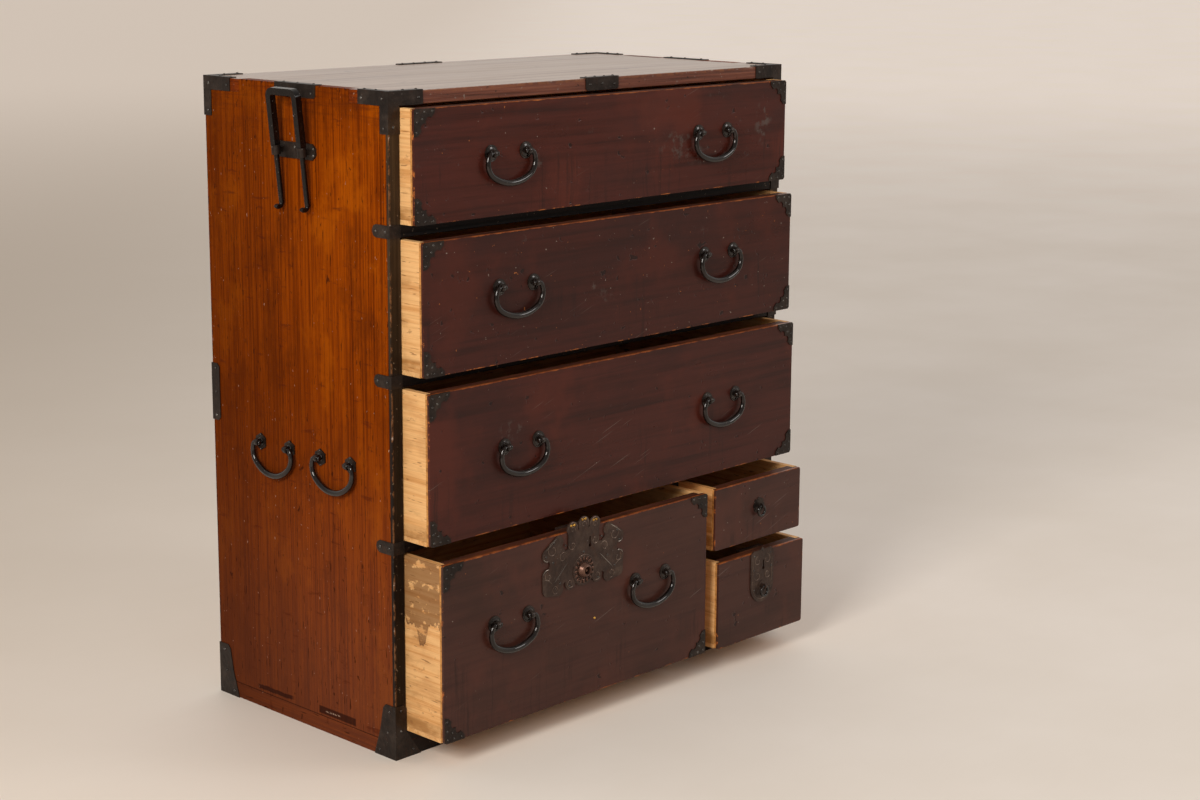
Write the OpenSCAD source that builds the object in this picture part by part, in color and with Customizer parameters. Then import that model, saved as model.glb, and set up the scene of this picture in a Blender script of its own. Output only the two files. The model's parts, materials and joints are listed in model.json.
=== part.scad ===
// Clothing chest of the tansu kind: a box-jointed case with six drawers and hand-forged iron fittings.
// The front faces -Y and +X is to the right. The floor is z = 0 and the case is centred on the Z axis.
// Each drawer stands open by its own amount, as a chest does when it is shown.

/* [Case] */
// Width over the side boards
case_w = 875; // [840:5:960]
// Depth from the front edge to the back
case_d = 432; // [410:2:500]
// Thickness of the side boards
side_t = 20; // [17:0.5:24]
// Thickness of the top board
top_t = 20; // [18:0.5:24]
// Thickness of the bottom board
bottom_t = 25; // [20:1:30]
// Thickness of the back planks
back_t = 9; // [7:0.5:12]
// Number of back planks
back_planks_n = 4; // [3:1:6]
// Height of a front rail
rail_h = 19; // [17:0.5:24]
// Depth of a front rail
rail_d = 46; // [40:1:60]
// Height of the sill under the lowest drawers
sill_h = 17; // [14:1:22]
// Thickness of a dust board
dust_t = 8; // [6:0.5:10]
// Width of a drawer runner
runner_w = 32; // [24:1:40]
// Thickness of the divider beside the narrow drawers
divider_t = 22; // [18:1:26]
// Thickness of the shelf between the narrow drawers
shelf_t = 16; // [13:0.5:20]
// Width of the bay that holds the narrow drawers
narrow_bay_w = 225.5; // [190:0.5:240]
// Thickness of the dark facing on the front edges of the side boards
facing_t = 6; // [4:0.5:8]
// Depth of the grooves and the stub tenons
housing = 6; // [4:0.5:8]
// Fingers of the top board in each top corner joint
top_fingers = 3; // [2:1:5]

/* [Drawers] */
// Height of the top drawer
top_h = 167.2; // [150:0.2:200]
// Height of the second drawer
second_h = 198; // [180:1:230]
// Height of the third drawer
third_h = 228.6; // [200:0.2:260]
// Height of the wide lower drawer
wide_h = 274; // [255:1:310]
// Height of the small drawer with the lock
small_lock_h = 149; // [130:1:160]
// Thickness of a drawer front
front_t = 20; // [17:0.5:24]
// Rounding of a drawer front's corners
front_corner_r = 4; // [2:0.5:6]
// Front wood left over the ends of the drawer sides
lap_t = 8; // [5:0.5:10]
// Thickness of the drawer sides
drawer_side_t = 11; // [9:0.5:14]
// Thickness of the drawer backs
drawer_back_t = 10; // [8:0.5:14]
// Thickness of the drawer floors
drawer_floor_t = 7; // [5:0.5:9]
// How much lower a drawer back is than its sides
back_drop = 14; // [6:1:24]
// Air beside a drawer
side_gap = 1.5; // [1:0.1:2.5]
// Air above a drawer
head_gap = 3; // [2:0.1:4]
// Air under a drawer
run_gap = 0.3; // [0.2:0.05:0.6]
// Air behind a closed drawer
tail_gap = 8; // [4:1:20]

/* [How far the drawers stand open] */
// Top drawer
top_open = 30; // [1:1:300]
// Second drawer
second_open = 46.5; // [1:0.5:300]
// Third drawer
third_open = 57; // [1:1:300]
// Wide lower drawer
wide_open = 84; // [1:1:300]
// Narrow upper drawer
narrow_open = 81.5; // [1:0.5:300]
// Small drawer with the lock
small_lock_open = 91; // [1:1:300]

/* [Drawer bails] */
// Distance between the two bails of a full-width drawer
bail_pair = 461; // [400:1:520]
// Distance between the two bails of the wide lower drawer
wide_bail_pair = 309; // [290:1:340]
// Pivot above the underside of the top drawer
top_bail_z = 94; // [80:1:110]
// Pivot above the underside of the second drawer
second_bail_z = 117; // [90:1:140]
// Pivot above the underside of the third drawer
third_bail_z = 127; // [100:1:160]
// Pivot above the underside of the wide drawer
wide_bail_z = 163; // [130:1:180]
// Distance between the posts of a drawer bail
bail_span = 71; // [66:1:74]
// Width over a drawer bail
bail_w = 106; // [104:1:112]
// Drop from the pivot to the underside of a drawer bail
bail_drop = 51; // [50:1:58]
// Radius of the lower corners of a drawer bail
bail_corner_r = 24; // [22:0.5:25]
// Radius of the forged bar of every bail
bail_r = 4.6; // [4.2:0.1:4.8]
// Radius of a bail's shoulders
elbow_r = 6; // [5.5:0.5:7]
// Radius of the pins at the ends of a bail
pin_r = 3; // [2.5:0.1:3.5]
// Radius of the knobs on the ends of a bail
knob_r = 4.2; // [3.8:0.1:4.5]
// Running clearance round a pin
pin_gap = 0.05; // [0.03:0.01:0.1]
// Stand-off of a pivot from the wood
post_proud = 8; // [8:0.5:12]
// Radius of a post's eye
eye_r = 5.5; // [5:0.1:6.5]
// Width of a post's eye
eye_w = 7; // [6:0.5:8]
// Radius of a drawer rosette
rosette_r = 12.5; // [11:0.5:14]
// Height of a drawer rosette
rosette_h = 2.8; // [2:0.2:3]

/* [Side fittings] */
// Front bail's distance from the front edge
side_bail_front = 130; // [110:1:140]
// Rear bail's distance from the front edge
side_bail_rear = 275; // [255:1:290]
// Pivot height of the side bails
side_bail_z = 440; // [380:1:520]
// Width over a side bail
side_bail_w = 103.5; // [101:0.5:105]
// Drop of a side bail
side_bail_drop = 52.5; // [50:0.5:58]
// Radius of a side bail's lower corners
side_corner_r = 26; // [22:0.5:30]
// Radius of a side bail's six-sided plates
side_plate_r = 13.5; // [12:0.5:18]
// Centre of the carrying handle from the front edge
carry_y = 209; // [190:1:230]
// Bracket plate below the chest's top
carry_plate_down = 98; // [90:1:130]
// Length of the bracket plate
carry_plate_l = 95; // [90:1:110]
// Height of the bracket plate
carry_plate_h = 24; // [20:1:30]
// Thickness of the bracket plate
bracket_t = 3; // [2:0.5:4]
// Distance between the handle's legs
carry_span = 61; // [56:1:68]
// Thickness of the handle's square bar
carry_bar = 10.5; // [9:0.5:13]
// Radius of the handle's round lower legs
carry_leg_r = 4; // [3.5:0.1:4.5]
// Stand-off of the legs from the side board
carry_proud = 14; // [13:0.5:18]
// Length of the legs under the bracket loops
carry_tail = 73; // [60:1:80]
// Outward lean of the carrying handle in its loops, in degrees
carry_lean = 6; // [0:0.5:7]
// Top of the lowered handle below the chest's top
carry_top_gap = 4; // [3:0.5:12]
// Height of a bracket loop
loop_h = 14; // [10:1:18]
// Radius of a bracket loop
loop_r = 7; // [6.5:0.1:8]

/* [Iron straps] */
// Thickness of the sheet iron
iron_t = 1.5; // [1:0.1:2]
// Reach of the straps over the top board
strap_over = 12; // [8:1:20]
// Length of a top corner iron along the edges
corner_l = 65; // [50:1:80]
// Length of a top corner iron down the edge
corner_down = 60; // [45:1:80]
// Width of a top corner iron's leg on the side
corner_leg_w = 17; // [12:1:20]
// Length of the straps in the middle of the top's ends
side_strap_l = 95; // [80:1:110]
// Length of the strap in the middle of the top's front edge
front_strap_l = 73; // [60:1:100]
// Length of the strap in the middle of the top's back edge
back_strap_l = 93; // [80:1:110]
// Length of a rail strap on the side board
rail_strap_l = 37; // [30:1:50]
// Height of a base corner iron
base_iron_h = 84; // [70:1:100]
// Length of a base corner iron at the floor
base_iron_foot = 48; // [40:1:60]
// Length of a base corner iron at its top
base_iron_head = 27; // [22:1:34]
// Height of the straps on the back edges
edge_strap_h = 92; // [70:1:120]
// Width of the straps on the back edges
edge_strap_w = 18; // [14:1:24]
// Centre height of the straps on the back edges
edge_strap_z = 502; // [440:1:540]
// Length of a drawer corner iron
drawer_corner_l = 40; // [32:1:46]

/* [Locks and ring pulls] */
// Boss of the big lock plate below the drawer's top edge
boss_down = 67; // [60:1:72]
// Half width of the big lock plate
plate_half_w = 90; // [84:1:96]
// Radius of the petals on the big lock plate
petal_r = 12; // [10.5:0.5:13]
// Distance from petal to petal
petal_pitch = 24.5; // [21:0.5:26]
// Radius of the boss on the big lock plate
boss_r = 12; // [10:0.5:15]
// Stand-off of the boss
boss_h = 8; // [5:0.5:10]
// Thickness of the lock plates
plate_t = 2; // [1.5:0.1:2.5]
// Width of the small lock plate
small_plate_w = 59; // [52:1:66]
// Reach of the small lock plate under the drawer's top edge
small_plate_l = 89; // [82:1:96]
// Ring pull of the small drawer below its top edge
small_ring_down = 61; // [58:1:66]
// Ring pull of the narrow drawer above its underside
narrow_ring_z = 59; // [45:1:65]
// Radius of a ring pull's centre line
ring_r = 8.5; // [7.5:0.5:10]
// Radius of a ring pull's wire
ring_wire_r = 2.1; // [1.8:0.1:2.4]
// Air round the wire in its eye
ring_gap = 0.3; // [0.2:0.05:0.4]
// Stand-off of a ring pull's eye
ring_proud = 7.5; // [7:0.5:10]
// Radius of the narrow drawer's flower plate
flower_r = 14; // [11:0.5:17]
// Petals of the flower plate
flower_n = 8; // [6:1:12]
// Width of a lock's bolt
bolt_w = 24; // [18:1:30]
// Thickness of a lock's bolt
bolt_t = 6; // [4:0.5:7]
// Length of a lock's bolt
bolt_l = 40; // [36:1:42]
// Throw of a lock's bolt
bolt_throw = 9; // [6:0.5:10]
// Running clearance round a bolt
bolt_gap = 0.3; // [0.2:0.05:0.5]
// Width of a keyhole's slot
key_w = 3; // [2:0.5:4]

/* [Hidden] */
$fn = 48;

// Colours, much as on a finished chest
LACQUER = [0.29, 0.15, 0.12];
SIDE_WOOD = [0.55, 0.26, 0.07];
EDGE_BLACK = [0.13, 0.11, 0.09];
PLAIN_WOOD = [0.85, 0.66, 0.40];
TOP_WOOD = [0.42, 0.24, 0.16];
IRON = [0.15, 0.15, 0.16];
PLATE_IRON = [0.24, 0.22, 0.20];

// Case
hw = case_w / 2;
hd = case_d / 2;
inner_hw = hw - side_t;
tenon_inset = facing_t + housing;
rabbet_w = side_t / 2;
floor_z = bottom_t + sill_h;
dust_lift = (rail_h - dust_t) / 4;
finger_w = case_d / (2 * top_fingers - 1);

// Heights of the drawers and rails, from the floor up
wide_z = floor_z + run_gap;
rail3_z = wide_z + wide_h + head_gap;
third_z = rail3_z + rail_h + run_gap;
rail2_z = third_z + third_h + head_gap;
second_z = rail2_z + rail_h + run_gap;
rail1_z = second_z + second_h + head_gap;
top_z = rail1_z + rail_h + run_gap;
under_top_z = top_z + top_h + head_gap;
case_h = under_top_z + top_t;
RAIL_Z = [rail3_z, rail2_z, rail1_z];

// Lower bay
divider_x1 = inner_hw - narrow_bay_w;
divider_x0 = divider_x1 - divider_t;
shelf_z = wide_z + small_lock_h + head_gap;
narrow_z = shelf_z + shelf_t + run_gap;
narrow_h = rail3_z - head_gap - narrow_z;

// The drawers in the order top, second, third, wide, narrow, small lock drawer
WIDE = 3;
NARROW = 4;
SMALL_LOCK = 5;
full_x = inner_hw - side_gap;
bay_x = divider_x1 + side_gap;
DRAWER_X0 = [-full_x, -full_x, -full_x, -full_x, bay_x, bay_x];
DRAWER_X1 = [full_x, full_x, full_x, divider_x0 - side_gap, full_x, full_x];
DRAWER_Z = [top_z, second_z, third_z, wide_z, narrow_z, wide_z];
DRAWER_H = [top_h, second_h, third_h, wide_h, narrow_h, small_lock_h];
DRAWER_OPEN = [top_open, second_open, third_open, wide_open, narrow_open, small_lock_open];
BAIL_PAIR = [bail_pair, bail_pair, bail_pair, wide_bail_pair];
PULL_Z = [top_bail_z, second_bail_z, third_bail_z, wide_bail_z, narrow_ring_z,
          small_lock_h - small_ring_down];
drawer_d = case_d - back_t - tail_gap;
taper = 0.3;
clench_t = 1.2;
shank_r = 2.2;
shank_gap = 0.05;
side_shank_l = side_t * 0.6;

// Carrying handle
carry_z = case_h - carry_plate_down;
seat_gap = 0.3;
carry_elbow_r = carry_bar / 2 + 4;
carry_top = carry_plate_down - carry_top_gap - carry_bar / 2;
hook_r = carry_leg_r + 2;
hook_z = -loop_h / 2 - carry_tail;

// Locks
lock_case_t = bolt_t + 6;
lock_case_w = bolt_w + 36;
lock_case_h = bolt_l + 12;
key_down = 30;
key_l = 14;
petal_up = 3;

// ---------- shared shapes ----------

// A box from its two opposite corners
module span_box(a, b) {
    translate(a) cube(b - a);
}

// A round bar bent to an arc in the XZ plane, from angle a0 to angle a1
module arc_bar(bend_r, bar_r, a0, a1) {
    rotate([90, 0, 0])
        rotate([0, 0, a0])
            rotate_extrude(angle = a1 - a0)
                translate([bend_r, 0]) circle(bar_r);
}

// A round bar along X
module x_bar(bar_r, x0, x1) {
    translate([x0, 0, 0]) rotate([0, 90, 0]) cylinder(r = bar_r, h = x1 - x0);
}

// A flat outline in the XZ plane raised towards -Y by t
module raise_plate(t) {
    rotate([90, 0, 0]) linear_extrude(t) children();
}

// A disc in the XZ plane raised towards -Y by t
module raise_disc(r, t) {
    rotate([90, 0, 0]) cylinder(r = r, h = t);
}

// The shape and its mirror image across the YZ plane
module both_sides() {
    children();
    mirror([1, 0, 0]) children();
}

// The left one as drawn, or the right one as its mirror image
module hand(is_right) {
    mirror([is_right ? 1 : 0, 0, 0]) children();
}

// Puts a fitting that faces -Y on the left side board; its +X then points to the front
module on_left_side(from_front, z) {
    translate([-hw, -hd + from_front, z]) rotate([0, 0, -90]) children();
}

// Puts a fitting that faces -Y on the front of drawer i, at its middle and its top edge
module on_drawer_top(i) {
    translate([drawer_cx(i), -hd - DRAWER_OPEN[i], DRAWER_Z[i] + DRAWER_H[i]]) children();
}

// Puts a fitting that faces -Y on the front of drawer i, dx from its middle, at its pull height
module on_drawer_pull(i, dx) {
    translate([drawer_cx(i) + dx, -hd - DRAWER_OPEN[i], DRAWER_Z[i] + PULL_Z[i]]) children();
}

function drawer_cx(i) = (DRAWER_X0[i] + DRAWER_X1[i]) / 2;
function finger_y(i) = -hd + i * finger_w;

// Where the posts of drawer i stand, from its middle
function post_dx(i) = i > WIDE ? [0]
    : [for (s = [-1, 1], p = [-1, 1]) (s * BAIL_PAIR[i] + p * bail_span) / 2];

// ---------- case ----------

// The stub tenons of a rail or the sill, which are also the shape of their mortises
module stub_tenons(z, h) {
    both_sides()
        span_box([inner_hw, -hd + tenon_inset, z + h / 5],
                 [inner_hw + housing, -hd + rail_d - housing, z + h * 4 / 5]);
}

// A dust board, which is also the shape of its grooves
module dust_board(z) {
    span_box([-inner_hw - housing, -hd + rail_d - housing, z + dust_lift],
             [inner_hw + housing, hd - back_t, z + dust_lift + dust_t]);
}

// The small shelf with its tongues, which are also the shape of their housings
module shelf_blank() {
    span_box([divider_x1 - housing, -hd + tenon_inset, shelf_z],
             [inner_hw + housing, hd - back_t, shelf_z + shelf_t]);
    span_box([divider_x1, -hd, shelf_z], [inner_hw, -hd + tenon_inset, shelf_z + shelf_t]);
}

// The slot in the wood above drawer i that its bolt rises into
module bolt_mortise(i) {
    z = DRAWER_Z[i] + DRAWER_H[i] + head_gap;
    y = -hd + front_t + lock_case_t / 2;
    span_box([drawer_cx(i) - bolt_w / 2 - 2, y - bolt_t / 2 - 2, z - 1],
             [drawer_cx(i) + bolt_w / 2 + 2, y + bolt_t / 2 + 2, z + bolt_throw - head_gap + 1]);
}

module side_board(is_right) {
    last = 2 * top_fingers - 2;
    color(SIDE_WOOD) difference() {
        hand(is_right) difference() {
            span_box([-hw, -hd + facing_t, bottom_t], [-inner_hw, hd, case_h]);
            // room for the fingers of the top board
            for (i = [0:2:last])
                span_box([-hw - 1, finger_y(i) - (i == 0 ? 1 : 0), under_top_z],
                         [-inner_hw + 1, finger_y(i + 1) + (i == last ? 1 : 0), case_h + 1]);
            // rabbet for the back planks
            span_box([-inner_hw - rabbet_w, hd - back_t, bottom_t - 1],
                     [-inner_hw + 1, hd + 1, under_top_z]);
            // holes for the shanks of the bail posts
            for (y = [side_bail_front, side_bail_rear], s = [-1, 1])
                on_left_side(y + s * bail_span / 2, side_bail_z)
                    translate([0, side_shank_l + shank_gap, 0])
                        raise_disc(shank_r + shank_gap, side_shank_l + 1);
        }
        for (z = RAIL_Z) {
            stub_tenons(z, rail_h);
            dust_board(z);
        }
        stub_tenons(bottom_t, sill_h);
        shelf_blank();
    }
}

module top_board() {
    color(TOP_WOOD) difference() {
        span_box([-hw, -hd, under_top_z], [hw, hd, case_h]);
        both_sides()
            for (i = [1:2:2 * top_fingers - 3])
                span_box([-hw - 1, finger_y(i), under_top_z - 1],
                         [-inner_hw, finger_y(i + 1), case_h + 1]);
    }
}

module bottom_board() {
    color(SIDE_WOOD) span_box([-hw, -hd, 0], [hw, hd, bottom_t]);
}

// Horizontal planks let into the rabbets of the side boards
module back_planks() {
    seam = 0.4;
    pitch = (under_top_z - bottom_t + seam) / back_planks_n;
    color(PLAIN_WOOD)
        for (i = [0:back_planks_n - 1])
            span_box([-inner_hw - rabbet_w, hd - back_t, bottom_t + i * pitch],
                     [inner_hw + rabbet_w, hd, bottom_t + (i + 1) * pitch - seam]);
}

module stile_facings() {
    color(EDGE_BLACK) both_sides()
        span_box([-hw, -hd, bottom_t], [-inner_hw, -hd + facing_t, under_top_z]);
}

module front_rails() {
    color(EDGE_BLACK) {
        difference() {
            for (z = RAIL_Z) {
                span_box([-inner_hw, -hd, z], [inner_hw, -hd + rail_d, z + rail_h]);
                stub_tenons(z, rail_h);
            }
            for (z = RAIL_Z) dust_board(z);
            bolt_mortise(WIDE);
        }
        span_box([-inner_hw, -hd, bottom_t], [inner_hw, -hd + rail_d, floor_z]);
        stub_tenons(bottom_t, sill_h);
    }
}

module dust_boards() {
    color(PLAIN_WOOD) for (z = RAIL_Z) dust_board(z);
}

// Runners on the dust boards and on the bottom board, level with the rails and the sill
module runners() {
    color(PLAIN_WOOD) {
        for (z = RAIL_Z) both_sides()
            span_box([-inner_hw, -hd + rail_d, z + dust_lift + dust_t],
                     [-inner_hw + runner_w, hd - back_t, z + rail_h]);
        for (x = [-inner_hw, divider_x0 - runner_w, divider_x1, inner_hw - runner_w])
            span_box([x, -hd + rail_d, bottom_t], [x + runner_w, hd - back_t, floor_z]);
    }
}

// Upright board between the wide drawer and the narrow ones, notched round the sill and the rail
module divider() {
    color(EDGE_BLACK) difference() {
        span_box([divider_x0, -hd, bottom_t], [divider_x1, hd - back_t, rail3_z + dust_lift]);
        span_box([divider_x0 - 1, -hd - 1, bottom_t - 1], [divider_x1 + 1, -hd + rail_d, floor_z]);
        span_box([divider_x0 - 1, -hd - 1, rail3_z], [divider_x1 + 1, -hd + rail_d, rail3_z + rail_h]);
        shelf_blank();
    }
}

module small_shelf() {
    color(EDGE_BLACK) difference() {
        shelf_blank();
        bolt_mortise(SMALL_LOCK);
    }
}

// ---------- iron on the case ----------

// Sheet iron folded over the top, the end and the front at one corner
module top_corner_iron() {
    t = iron_t;
    z0 = case_h - corner_down;
    span_box([-hw - t, -hd - t, under_top_z], [-hw + corner_l, -hd, case_h + t]);
    span_box([-hw - t, -hd - t, z0], [-inner_hw, -hd, case_h]);
    span_box([-hw - t, -hd - t, under_top_z], [-hw, -hd + corner_l, case_h + t]);
    span_box([-hw - t, -hd - t, z0], [-hw, -hd + corner_leg_w, case_h]);
    span_box([-hw - t, -hd - t, case_h], [-hw + corner_l, -hd + strap_over, case_h + t]);
    span_box([-hw - t, -hd - t, case_h], [-hw + strap_over, -hd + corner_l, case_h + t]);
}

module top_corner_irons() {
    color(IRON) both_sides() {
        top_corner_iron();
        mirror([0, 1, 0]) top_corner_iron();
    }
}

// One leg of a base corner iron, from the corner inwards; waist is its width at height waist_z
module base_leg(waist, waist_z, head) {
    raise_plate(iron_t)
        polygon([[-iron_t, 0], [base_iron_foot, 0], [waist, waist_z], [head, base_iron_h - 6],
                 [head - 6, base_iron_h], [-iron_t, base_iron_h]]);
}

module base_corner_irons() {
    waist = (base_iron_foot + 2 * base_iron_head) / 3;
    color(IRON) both_sides() {
        translate([-hw, -hd, 0]) base_leg(side_t, floor_z, side_t);
        on_left_side(0, 0) mirror([1, 0, 0]) base_leg(waist, base_iron_h / 2, base_iron_head);
        on_left_side(case_d, 0) base_leg(waist, base_iron_h / 2, base_iron_head);
        mirror([0, 1, 0]) translate([-hw, -hd, 0]) base_leg(waist, base_iron_h / 2, base_iron_head);
    }
}

// Strap of length l folded over an edge of the top, facing -Y, with clipped corners
module top_strap(l) {
    clip = 4;
    raise_plate(iron_t)
        polygon([[-l / 2, iron_t], [l / 2, iron_t], [l / 2, clip - top_t], [l / 2 - clip, 1 - top_t],
                 [clip - l / 2, 1 - top_t], [-l / 2, clip - top_t]]);
    span_box([-l / 2, -iron_t, 0], [l / 2, strap_over, iron_t]);
}

// Strap folded round a front edge at a rail, with a round end on the side board
module rail_strap(z) {
    r = rail_h / 2;
    span_box([-hw - iron_t, -hd - iron_t, z], [-inner_hw, -hd, z + rail_h]);
    span_box([-hw - iron_t, -hd - iron_t, z], [-hw, -hd + rail_strap_l - r, z + rail_h]);
    on_left_side(rail_strap_l - r, z + r) raise_disc(r, iron_t);
}

// Half of a strap folded round a back edge, with clipped corners
module edge_strap_leg() {
    clip = 5;
    h = edge_strap_h / 2;
    w = edge_strap_w;
    raise_plate(iron_t)
        polygon([[-iron_t, -h], [w - clip, -h], [w, clip - h], [w, h - clip], [w - clip, h], [-iron_t, h]]);
}

module edge_straps() {
    color(IRON) {
        translate([0, -hd, case_h]) top_strap(front_strap_l);
        mirror([0, 1, 0]) translate([0, -hd, case_h]) top_strap(back_strap_l);
        both_sides() {
            on_left_side(carry_y, case_h) top_strap(side_strap_l);
            for (z = RAIL_Z) rail_strap(z);
            on_left_side(case_d, edge_strap_z) edge_strap_leg();
            mirror([0, 1, 0]) translate([-hw, -hd, edge_strap_z]) edge_strap_leg();
        }
    }
}

// ---------- bails and their posts ----------

// An eye on a neck, with its shank in the wood; the pivot is at the stand-off
module eye_post(proud, neck_r, outer_r, width, hole_r, shank_l) {
    difference() {
        union() {
            raise_disc(neck_r, proud);
            translate([0, -proud, 0]) x_bar(outer_r, -width / 2, width / 2);
            translate([0, shank_l, 0]) raise_disc(shank_r, shank_l + 1);
        }
        translate([0, -proud, 0]) x_bar(hole_r, -width, width);
    }
}

// A post of a drawer bail on its rosette, with the shank clenched behind the front
module drawer_post() {
    eye_post(post_proud, 3.6, eye_r, eye_w, pin_r + pin_gap, front_t + clench_t);
    raise_disc(rosette_r, 1.5);
    rotate([90, 0, 0]) cylinder(r1 = rosette_r, r2 = rosette_r * 0.8, h = rosette_h * 0.6);
    rotate([90, 0, 0]) cylinder(r1 = rosette_r * 0.9, r2 = rosette_r * 0.5, h = rosette_h);
    translate([0, front_t + clench_t, 0]) raise_disc(5, clench_t);
}

// A post of a side bail on its pointed six-sided plate
module side_post() {
    eye_post(post_proud, 3.6, eye_r, eye_w, pin_r + pin_gap, side_shank_l);
    rotate([90, 30, 0]) cylinder(r = side_plate_r, h = plate_t, $fn = 6);
    rotate([90, 0, 0]) cylinder(r1 = side_plate_r * 0.6, r2 = side_plate_r * 0.36, h = rosette_h);
}

// A hanging bail, pivot at the origin: three tangent arcs on each half, forged thinner towards
// the eyes, and a pin through each eye. The belly's radius follows from the other sizes.
module bail(w, drop, corner_r) {
    belly_bar = bail_r + taper;
    bow = w / 2 - bail_r;
    elbow_x = bail_span / 2 + eye_w / 2 + 1;
    lean = acos((elbow_x - bow + corner_r) / (corner_r - elbow_r));
    corner_x = bow - corner_r;
    corner_z = -elbow_r - (corner_r - elbow_r) * sin(lean);
    turn = 2 * atan((corner_z + drop - belly_bar - corner_r) / corner_x);
    belly_r = corner_x / sin(turn) + corner_r;
    pin_x0 = bail_span / 2 - eye_w / 2 - 4.5;
    color(IRON) {
        translate([0, 0, belly_bar - drop + belly_r]) arc_bar(belly_r, belly_bar, -90 - turn, turn - 90);
        both_sides() {
            translate([corner_x, 0, corner_z]) arc_bar(corner_r, bail_r, turn - 92, lean);
            translate([elbow_x, 0, -elbow_r]) arc_bar(elbow_r, bail_r - taper, lean - 6, 90);
            x_bar(pin_r, pin_x0 + 1, elbow_x + 0.3);
            x_bar(knob_r, pin_x0, pin_x0 + 3.6);
        }
    }
}

module drawer_bail(i, side) {
    on_drawer_pull(i, side * BAIL_PAIR[i] / 2)
        translate([0, -post_proud, 0]) bail(bail_w, bail_drop, bail_corner_r);
}

module side_bail(is_right, from_front) {
    hand(is_right) on_left_side(from_front, side_bail_z)
        translate([0, -post_proud, 0]) bail(side_bail_w, side_bail_drop, side_corner_r);
}

// ---------- carrying handle ----------

// Puts a form on the leaning line of the handle's legs, at the height of the loops
module on_lean() {
    translate([0, -carry_proud, 0]) rotate([carry_lean, 0, 0]) children();
}

// Bracket plate with two loops, and the posts of the two bails below it
module side_irons(is_right) {
    color(IRON) hand(is_right) {
        on_left_side(carry_y, carry_z) {
            raise_plate(bracket_t) {
                clip = carry_plate_h * 0.3;
                l = carry_plate_l / 2;
                h = carry_plate_h / 2;
                polygon([[-l, clip - h], [clip - l, -h], [l - clip, -h], [l, clip - h],
                         [l, h - clip], [l - clip, h], [clip - l, h], [-l, h - clip]]);
            }
            both_sides() difference() {
                union() {
                    span_box([carry_span / 2 - 4, -carry_proud, -4], [carry_span / 2 + 4, -1, 4]);
                    translate([carry_span / 2, 0, 0]) on_lean() translate([0, 0, -loop_h / 2])
                        cylinder(r = loop_r, h = loop_h);
                }
                translate([carry_span / 2, 0, 0]) on_lean() translate([0, 0, -loop_h])
                    cylinder(r = carry_leg_r + pin_gap, h = 2 * loop_h);
            }
        }
        for (y = [side_bail_front, side_bail_rear], s = [-1, 1])
            on_left_side(y + s * bail_span / 2, side_bail_z) side_post();
    }
}

// Outline of the square bar's U, from its shoulders on the loops up
module handle_outline(bar, bend_r) {
    half = carry_span / 2;
    b = bar / 2;
    seat = loop_h / 2 + seat_gap;
    bend_z = carry_top - bend_r;
    difference() {
        union() {
            translate([-half - b, seat]) square([2 * half + bar, bend_z - seat]);
            translate([bend_r - half, seat]) square([2 * (half - bend_r), carry_top + b - seat]);
            for (s = [-1, 1]) translate([s * (half - bend_r), bend_z]) circle(bend_r + b);
        }
        translate([b - half, seat - 1]) square([2 * half - bar, bend_z - seat + 1]);
        translate([bend_r - half, seat - 1]) square([2 * (half - bend_r), carry_top - b - seat + 1]);
        for (s = [-1, 1]) translate([s * (half - bend_r), bend_z]) circle(bend_r - b);
    }
}

// U of square bar that stands on the loops and slides up to take a carrying pole
module carry_handle(is_right) {
    half = carry_span / 2;
    leg_top = loop_h / 2 + seat_gap + 1;
    color(IRON) hand(is_right) on_left_side(carry_y, carry_z) on_lean() {
        translate([0, carry_bar / 2, 0]) raise_plate(carry_bar) handle_outline(carry_bar, carry_elbow_r);
        both_sides() {
            translate([half, 0, hook_z]) cylinder(r = carry_leg_r, h = leg_top - hook_z);
            translate([half, -hook_r, hook_z]) rotate([0, 0, 90])
                arc_bar(hook_r, carry_leg_r - taper, -150, 6);
        }
    }
}

// ---------- drawers ----------

// The keyhole behind a lock plate, cut from y0 to y1; dx is its offset from the drawer's middle
module keyhole(dx, y0, y1) {
    translate([dx, y1, -key_down]) raise_disc(key_w, y1 - y0);
    span_box([dx - key_w / 2, y0, -key_down], [dx + key_w / 2, y1, key_l - key_down]);
}

// Board with rounded corners on the front, rabbeted for the sides and the floor
module drawer_front(i) {
    x0 = DRAWER_X0[i];
    x1 = DRAWER_X1[i];
    z0 = DRAWER_Z[i];
    z1 = z0 + DRAWER_H[i];
    y = -hd - DRAWER_OPEN[i];
    r = front_corner_r;
    color(LACQUER) difference() {
        union() {
            span_box([x0 + r, y, z0], [x1 - r, y + front_t, z1]);
            span_box([x0, y, z0 + r], [x1, y + front_t, z1 - r]);
            for (x = [x0 + r, x1 - r], z = [z0 + r, z1 - r])
                translate([x, y + front_t, z]) raise_disc(r, front_t);
        }
        for (x = [x0 - 1, x1 - drawer_side_t])
            span_box([x, y + lap_t, z0 - 1], [x + drawer_side_t + 1, y + front_t + 1, z1 + 1]);
        span_box([x0 - 1, y + lap_t, z0 - 1], [x1 + 1, y + front_t + 1, z0 + drawer_floor_t]);
        for (dx = post_dx(i))
            on_drawer_pull(i, dx) translate([0, front_t + 1, 0])
                raise_disc(shank_r + shank_gap, front_t + 2);
        if (i == WIDE || i == SMALL_LOCK)
            on_drawer_top(i) keyhole(key_dx(i), -1, front_t + 1);
    }
}

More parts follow.
